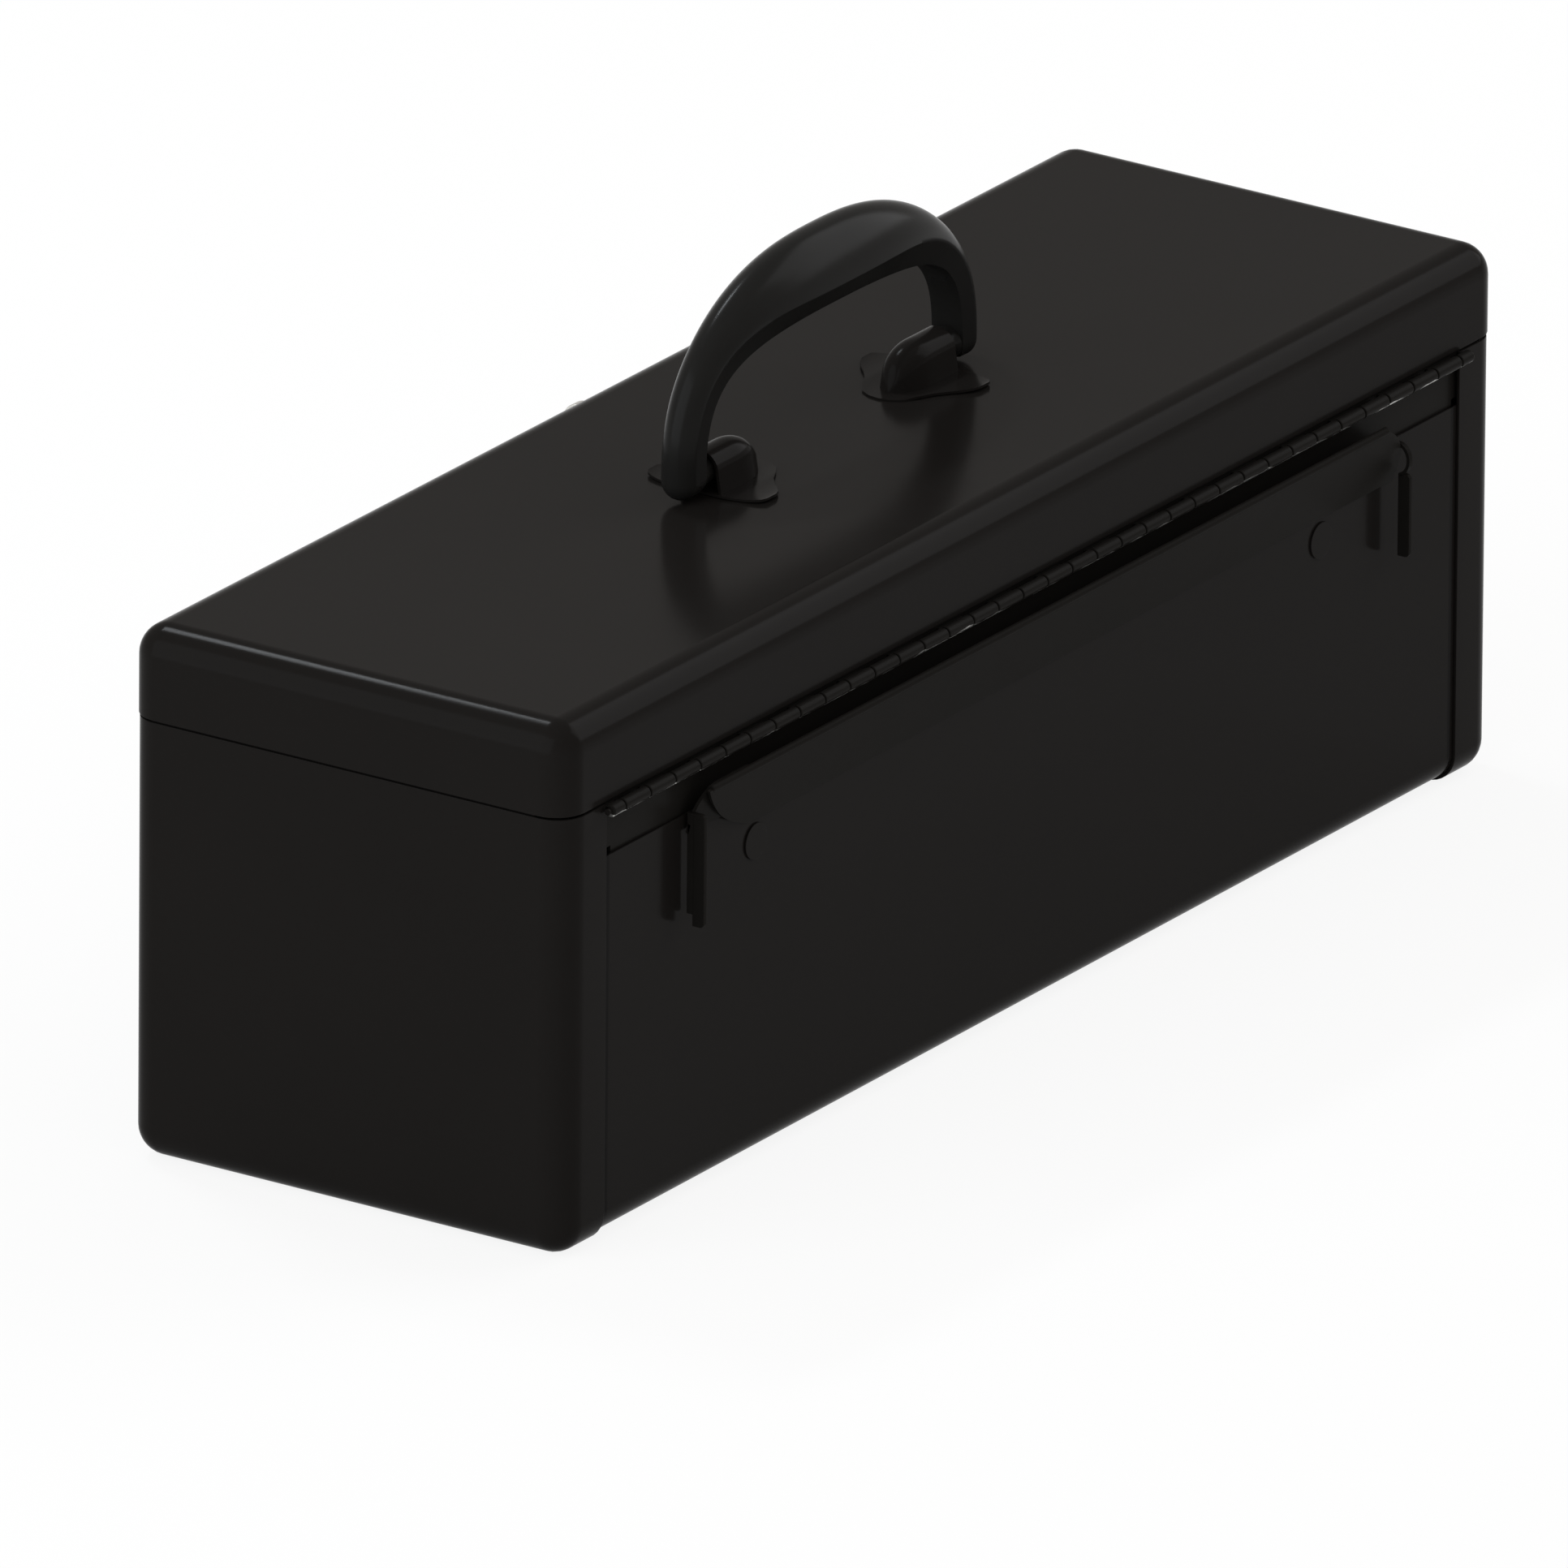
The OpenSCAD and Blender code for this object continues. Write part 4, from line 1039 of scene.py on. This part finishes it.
@dataclass
class CarryHandle:
    """The moulded carrying handle: slim legs, a fat grip and two necks.

    Seen in section, the outer side is an arc. Past outer_turn the side runs flat and
    inwards, and past side_turn the back closes across. The neck is given in millimetres:
    how far out, and its radius there.
    """

    bench: Bench
    spread: float = 70.8 * MM
    rise: float = 44.5 * MM
    across: float = 0.77
    upward: float = 0.75
    leg: float = 5.8 * MM
    grip_thick: float = 6.8 * MM
    grip_wide: float = 5.7 * MM
    swell: float = 4.2
    leg_corner: float = 0.25
    grip_corner: float = -0.2
    leg_flat: float = 0.92
    grip_flat: float = 0.46
    inner_depth: float = 0.86
    outer_arc: float = math.radians(66)
    outer_turn: float = 90
    side_turn: float = 156
    back_step: float = 0.05
    back_width: float = 0.86
    foot_angles: tuple[int, ...] = (84, 70, 55, 40, 26, 13)
    neck: tuple[tuple[float, float], ...] = (
        (70.8, 5.3), (67.0, 5.3), (65.6, 5.15), (64.2, 4.75), (62.6, 4.35), (55.2, 4.3),
        (55.1, 3.5), (43.6, 3.5))
    neck_sides: int = 32
    sides: int = 56
    count: int = 72
    fine: int = 2000

    def _path(self) -> list[tuple[Vector, float]]:
        """Walks along the centre line.

        Returns:
            Evenly spaced points, each with its swell from 0 to 1.
        """
        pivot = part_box("handle_bracket_right")[1].z - HandleBracket.crown
        fine = []
        for step in range(self.fine + 1):
            t = math.pi * (step / self.fine)
            c, s = math.cos(t), max(math.sin(t), 0.0)
            fine.append((Vector((math.copysign(abs(c) ** self.across, c) * self.spread, 0,
                                 pivot + self.rise * s ** self.upward)), s ** self.swell))
        length = [0.0]
        for (a, _), (b, _) in zip(fine, fine[1:]):
            length.append(length[-1] + (b - a).length)
        picked, at = [], 0
        for step in range(self.count + 1):
            goal = length[-1] * step / self.count
            while at < len(length) - 1 and length[at] < goal:
                at += 1
            picked.append(fine[at])
        return picked

    def build(self) -> None:
        """Makes the handle as one piece."""
        path = self._path()
        pivot = path[0][0]
        stations = [self._foot(pivot, X, angle) for angle in self.foot_angles]
        for place, (point, swell) in enumerate(path):
            before = path[max(place - 1, 0)][0]
            after = path[min(place + 1, len(path) - 1)][0]
            ahead = (after - before).normalized()
            if place in (0, len(path) - 1):
                ahead = Z.copy() if place == 0 else -Z
            stations.append((station(point, Y.cross(ahead), Y, self.leg + self.grip_thick * swell,
                                     self.leg + self.grip_wide * swell), swell))
        stations += [self._foot(path[-1][0], -X, angle) for angle in reversed(self.foot_angles)]
        mesh = bmesh.new()
        self._sweep(mesh, stations)
        for side in (-1, 1):
            self._neck(mesh, pivot, side)
        tidy(mesh)
        self.bench.place(mesh, "handle_moulding", "handle")

    def _foot(self, pivot: Vector, outward: Vector, angle: float) -> tuple[Matrix, float]:
        """Finds one section of a leg's rounded foot.

        Args:
            pivot: The middle of the leg at the pivot's height.
            outward: The direction away from the handle's middle.
            angle: How far round the foot the section lies, in degrees.

        Returns:
            Where the section goes, and its swell.
        """
        turn = math.radians(angle)
        size = self.leg * math.cos(turn)
        return station(pivot - Z * self.leg * math.sin(turn), outward, Y, size, size), 0.0

    def _outline(self, angle: float, swell: float) -> Vector:
        """Finds a point of the section: round outside, flat-sided and cut back inside.

        Args:
            angle: The point's angle from outward, in degrees.
            swell: The section's swell, from 0 at the legs to 1 at the grip.

        Returns:
            The point, in half sizes of the section.
        """
        corner = self.leg_corner + (self.grip_corner - self.leg_corner) * swell
        flat = self.leg_flat + (self.grip_flat - self.leg_flat) * swell
        turn = abs(angle)
        if turn <= self.outer_turn:
            t = self.outer_arc * turn / self.outer_turn
            foot = math.cos(self.outer_arc)
            along = corner + (1 - corner) * (math.cos(t) - foot) / (1 - foot)
            side = math.sin(t) / math.sin(self.outer_arc)
        elif turn <= self.side_turn:
            share = (turn - self.outer_turn) / (self.side_turn - self.outer_turn)
            along = corner + (-self.inner_depth - corner) * share
            side = 1 + (flat - 1) * share
        else:
            along = -self.inner_depth - self.back_step
            side = flat * self.back_width * (180 - turn) / (180 - self.side_turn)
        return Vector((along, math.copysign(side, angle), 0))

    def _sweep(self, mesh: Mesh, stations: Sequence[tuple[Matrix, float]]) -> None:
        """Draws the section along its stations and closes both ends.

        Args:
            mesh: The mesh.
            stations: Where each section goes, and its swell.
        """
        ring = bmesh.ops.create_circle(mesh, segments=self.sides, radius=1)["verts"]
        angles = {v: math.degrees(math.atan2(v.co.y, v.co.x)) for v in ring}
        edges = edges_of(ring)
        first = edges
        for place, (matrix, swell) in enumerate(stations):
            if place:
                drawn = bmesh.ops.extrude_edge_only(mesh, edges=edges)["geom"]
                angles = {v: next(angles[e.other_vert(v)] for e in v.link_edges
                                  if e.other_vert(v) in angles) for v in only(drawn, Vert)}
                edges = [e for e in only(drawn, Edge) if all(v in angles for v in e.verts)]
            for vert, angle in angles.items():
                goal = matrix @ self._outline(angle, swell)
                bmesh.ops.translate(mesh, vec=goal - vert.co, verts=[vert])
        for cap in (first, edges):
            bmesh.ops.contextual_create(mesh, geom=cap)

    def _neck(self, mesh: Mesh, pivot: Vector, side: int) -> None:
        """Adds the tapered neck that turns in a bracket.

        Args:
            mesh: The mesh.
            pivot: The middle of a leg at the pivot's height.
            side: 1 on the right and -1 on the left.
        """
        ring = bmesh.ops.create_circle(mesh, segments=self.neck_sides, radius=1)["verts"]
        stations = [station(Vector((side * x * MM, 0, pivot.z)), Y, Z, r * MM, r * MM)
                    for x, r in self.neck]
        loft(mesh, edges_of(ring), stations, True)


@dataclass
class HandleBracket:
    """One pressed bracket: a domed cup with an open mouth, on a winged plate.

    The cup narrows past straight, a share of its length, along a curve of power
    roundness. The outline gives half of the plate, in millimetres: its place along Y,
    where it starts and ends along X, and how far it is raised there.
    """

    bench: Bench
    node: str
    side: int
    mouth: float = 61.0 * MM
    back: float = 35.5 * MM
    crown: float = 6.2 * MM
    foot: float = 7.4 * MM
    wall: float = 1.0 * MM
    straight: float = 0.42
    roundness: float = 2.3
    tip: float = 0.06
    back_room: float = 0.1 * MM
    plate: float = 0.7 * MM
    flush: float = 0.55 * MM
    lift: float = 0.3 * MM
    tongue: float = 9 * MM
    outline: tuple[tuple[float, float, float, float], ...] = (
        (-20.4, 52.6, 57.2, 0.55), (-19.4, 50.2, 58.8, 0.35), (-17.4, 47.6, 60.0, 0.15),
        (-14.6, 44.8, 61.0, 0.0), (-12.0, 41.4, 61.6, 0.0), (-9.6, 36.6, 62.0, 0.0),
        (-7.0, 32.6, 62.2, 0.0), (-3.5, 30.6, 62.2, 0.0), (0.0, 30.0, 62.2, 0.0))
    sides: int = 40
    steps: int = 22

    def build(self) -> None:
        """Makes the bracket as one piece."""
        top_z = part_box("lid_shell")[1].z
        mesh = bmesh.new()
        self._cup(mesh, top_z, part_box(self.node)[1].z - self.crown)
        self._plate(mesh, top_z)
        if self.side < 0:
            bmesh.ops.scale(mesh, vec=(-1, 1, 1), verts=mesh.verts[:])
        tidy(mesh)
        self.bench.place(mesh, f"{self.node}_pressing", self.node)

    def _cup(self, mesh: Mesh, top_z: float, pivot_z: float) -> None:
        """Draws the cup back from its mouth and down to its rounded end.

        Args:
            mesh: The mesh.
            top_z: The lid's top.
            pivot_z: The height of the handle's pivots.
        """
        ring = bmesh.ops.create_circle(mesh, segments=self.sides, radius=self.crown)["verts"]
        lower = [v for v in ring if v.co.y < -WELD]
        bmesh.ops.delete(mesh, geom=lower, context="VERTS")
        arch = [v for v in ring if v.is_valid]
        edges = edges_of(arch)
        bmesh.ops.translate(mesh, vec=(0, pivot_z - top_z, 0), verts=arch)
        for side in (-1, 1):
            end = max(arch, key=lambda v: v.co.x * side)
            drawn = bmesh.ops.extrude_vert_indiv(mesh, verts=[end])
            out = Vector((side * (self.foot - self.crown), -end.co.y, 0))
            bmesh.ops.translate(mesh, vec=out, verts=drawn["verts"])
            edges += drawn["edges"]
        stations = []
        for step in range(self.steps + 1):
            share = step / self.steps
            far = max(0.0, (share - self.straight) / (1 - self.straight))
            size = max(self.tip, max(0.0, 1 - far ** self.roundness) ** (1 / self.roundness))
            place = Vector((self.mouth + (self.back - self.mouth) * share, 0, top_z))
            stations.append(station(place, Y, Z, size, size))
        loft(mesh, edges, stations, False)
        open_end = [e for e in mesh.edges if e.is_boundary
                    and all(v.co.x < self.back + self.back_room for v in e.verts)]
        bmesh.ops.contextual_create(mesh, geom=open_end)
        mesh.normal_update()
        bmesh.ops.recalc_face_normals(mesh, faces=mesh.faces[:])
        crown = max(mesh.faces, key=lambda f: f.calc_center_median().z)
        if crown.normal.z < 0:
            bmesh.ops.reverse_faces(mesh, faces=mesh.faces[:])
        bmesh.ops.solidify(mesh, geom=mesh.faces[:], thickness=self.wall)

    def _plate(self, mesh: Mesh, top_z: float) -> None:
        """Draws the plate across the lid, with a flush tongue and its other edges lifted.

        Args:
            mesh: The mesh.
            top_z: The lid's top.
        """
        mirrored = [(-y, start, end, raised) for y, start, end, raised in self.outline[-2::-1]]
        rows = []
        for y, start, end, raised in (*self.outline, *mirrored):
            edge_z = top_z + self.lift + raised * MM + self.plate
            start_z = top_z + self.flush if abs(y * MM) < self.tongue else edge_z
            rows.append((Vector((start * MM, y * MM, start_z)),
                         Vector((end * MM, y * MM, edge_z))))
        thicken(mesh, ruled(mesh, rows), Z, self.plate)


# ---------------------------------------------------------------- studio


@dataclass(frozen=True)
class Lamp:
    """One soft lamp that faces the toolbox."""

    name: str
    towards: Vector
    distance: float
    size: tuple[float, float]
    watts: float
    colour: Colour

    def build(self, target: Vector) -> None:
        """Sets the lamp up.

        Args:
            target: The point that it faces.
        """
        data = bpy.data.lights.new(self.name, "AREA")
        data.shape = "RECTANGLE"
        data.size, data.size_y = self.size
        data.energy = self.watts
        data.color = self.colour
        lamp = added(self.name, data)
        way = self.towards.normalized()
        lamp.location = target + way * self.distance
        lamp.rotation_mode = "QUATERNION"
        lamp.rotation_quaternion = (-way).to_track_quat("-Z", "Y")
        LOG.info("lamp %s", self.name)


@dataclass
class Studio:
    """The pale floor that turns up into a backdrop, the lamps and the camera."""

    floor_inner: float = 1.0
    floor_reach: float = 34.0
    floor_turn: float = 2.0
    floor_drop: float = 0.2 * MM
    turn_step: int = 15
    floor_steps: int = 72
    backdrop: float = 4.0
    paper: float = 0.86
    floor_white: float = 0.88
    mirror_white: float = 0.6
    room: Colour = (1, 0.965, 0.925)
    sky: float = 0.6
    azimuth: float = 123.581
    elevation: float = 21.074
    roll: float = 0.46
    lens: float = 1500.0
    sensor: float = 36.0
    clip: tuple[float, float] = (1, 120)
    distance: float = 18.72
    aim: tuple[float, float] = (-0.00883, 0.05013)
    lamps: tuple[Lamp, ...] = (
        Lamp("front_strip", Vector((-0.12, -0.52, 0.80)), 2.6, (0.62, 0.2), 18, (0.90, 0.95, 1.0)),
        Lamp("rear_soft", Vector((-0.74, 0.42, 0.52)), 2.8, (2.0, 2.0), 30, (0.97, 0.98, 1.0)),
        Lamp("side_soft", Vector((1.0, -0.25, 0.42)), 2.8, (3.0, 2.6), 52, (0.90, 0.96, 1.0)),
    )

    def build(self) -> None:
        """Sets up the whole studio."""
        self._floor()
        self._world()
        middle = sum(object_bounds(), Vector()) / 2
        for lamp in self.lamps:
            lamp.build(middle)
        self._camera()
        bpy.context.scene.view_settings.view_transform = "Standard"

    def _floor(self) -> None:
        """Makes the floor and the low backdrop round it."""
        mesh = bmesh.new()
        verts = bmesh.ops.create_vert(mesh, co=-Z * self.floor_drop)["vert"]
        flat = self.floor_reach - self.floor_turn
        steps = [X * self.floor_inner, X * (flat - self.floor_inner)]
        turn = [math.radians(a) for a in range(0, 91, self.turn_step)]
        steps += [Vector((math.sin(b) - math.sin(a), 0, math.cos(a) - math.cos(b)))
                  * self.floor_turn for a, b in zip(turn, turn[1:])]
        steps += [Z * (self.backdrop - self.floor_turn)]
        for step in steps:
            verts = bmesh.ops.extrude_vert_indiv(mesh, verts=verts)["verts"]
            bmesh.ops.translate(mesh, vec=step, verts=verts)
        bmesh.ops.spin(mesh, geom=mesh.verts[:] + mesh.edges[:], cent=(0, 0, 0), axis=(0, 0, 1),
                       angle=math.tau, steps=self.floor_steps, use_merge=True)
        tidy(mesh)
        if min(mesh.faces, key=lambda f: f.calc_center_median().length).normal.z < 0:
            bmesh.ops.reverse_faces(mesh, faces=mesh.faces)
        floor = shaded(mesh, "studio_floor", self._floor_paper())
        floor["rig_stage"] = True
        LOG.info("studio_floor")

    def _floor_paper(self) -> bpy.types.Material:
        """Mixes the white paper of floor and backdrop, which keeps the shadow.

        Returns:
            The paper's material.
        """
        made = bpy.data.materials.new("white_paper")
        tree = Tree(made)
        paper = tree.node("ShaderNodeBsdfDiffuse", None, {"Color": (self.paper,) * 3})
        white = tree.node("ShaderNodeEmission", None, {"Color": (1, 1, 1), "Strength": 1.0})
        path = tree.node("ShaderNodeLightPath")
        direct = tree.value(path, "Is Camera Ray").larger(tree.value(path, "Is Transmission Ray"))
        mirrored = tree.value(path, "Is Glossy Ray") * self.mirror_white
        mixed = tree.node("ShaderNodeMixShader", None, {
            "Fac": (direct * self.floor_white).larger(mirrored),
            1: tree.value(paper, "BSDF"),
            2: tree.value(white, "Emission"),
        })
        tree.node("ShaderNodeOutputMaterial", None, {"Surface": tree.value(mixed, "Shader")})
        return made

    def _world(self) -> None:
        """Makes the plain grey room light."""
        world = bpy.data.worlds.new("studio_room")
        bpy.context.scene.world = world
        tree = Tree(world)
        light = tree.node("ShaderNodeBackground", None, {"Color": self.room, "Strength": self.sky})
        tree.node("ShaderNodeOutputWorld", None, {"Surface": tree.value(light, "Background")})

    def _camera(self) -> None:
        """Makes the camera."""
        turn, tilt, roll = (math.radians(a) for a in (self.azimuth, self.elevation, self.roll))
        back = Vector((math.sin(turn) * math.cos(tilt), -math.cos(turn) * math.cos(tilt),
                       math.sin(tilt)))
        level = Vector((math.cos(turn), math.sin(turn), 0))
        right = level * math.cos(roll) + back.cross(level) * math.sin(roll)
        up = back.cross(right)
        data = bpy.data.cameras.new("camera")
        data.lens, data.sensor_width = self.lens, self.sensor
        data.clip_start, data.clip_end = self.clip
        camera = added("camera", data)
        place = right * self.aim[0] + up * self.aim[1] + back * self.distance
        axes = Matrix((right, up, back)).transposed().to_4x4()
        camera.matrix_world = Matrix.Translation(place) @ axes
        bpy.context.scene.camera = camera
        LOG.info("camera")


SOFTENED = {
    0.15 * MM: ("hinge_pin", "stop_rivets", "rim_front", "rim_left", "rim_right",
                "rim_corner_left", "rim_corner_right", "tray_ledge_left", "tray_ledge_right",
                "hasp_pin", "latch_pin_left", "latch_pin_right", "tray_divider_left",
                "tray_divider_right", "front_rivets", "lid_rivets"),
    0.3 * MM: ("latch_base_left", "latch_base_right", "latch_lever_left", "latch_lever_right",
               "hasp_plate", "hasp_strap", "hasp_staple", "hasp_eye", "keeper_left",
               "keeper_right", "tray_pan"),
    0.0: ("latch_bail_left", "latch_bail_right", "tray_handle"),
}


def main() -> None:
    """Builds the toolbox and its studio."""
    logging.basicConfig(level=logging.INFO, format="%(message)s")
    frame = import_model()
    bench = Bench(frame)
    PressedShells(bench).build()
    PianoHinge(bench).build()
    LidStop(bench).build()
    CarryHandle(bench).build()
    HandleBracket(bench, "handle_bracket_left", -1).build()
    HandleBracket(bench, "handle_bracket_right", 1).build()
    for width, nodes in SOFTENED.items():
        for node in nodes:
            bench.soften(node, width)
    Studio().build()


if __name__ == "__main__":
    main()
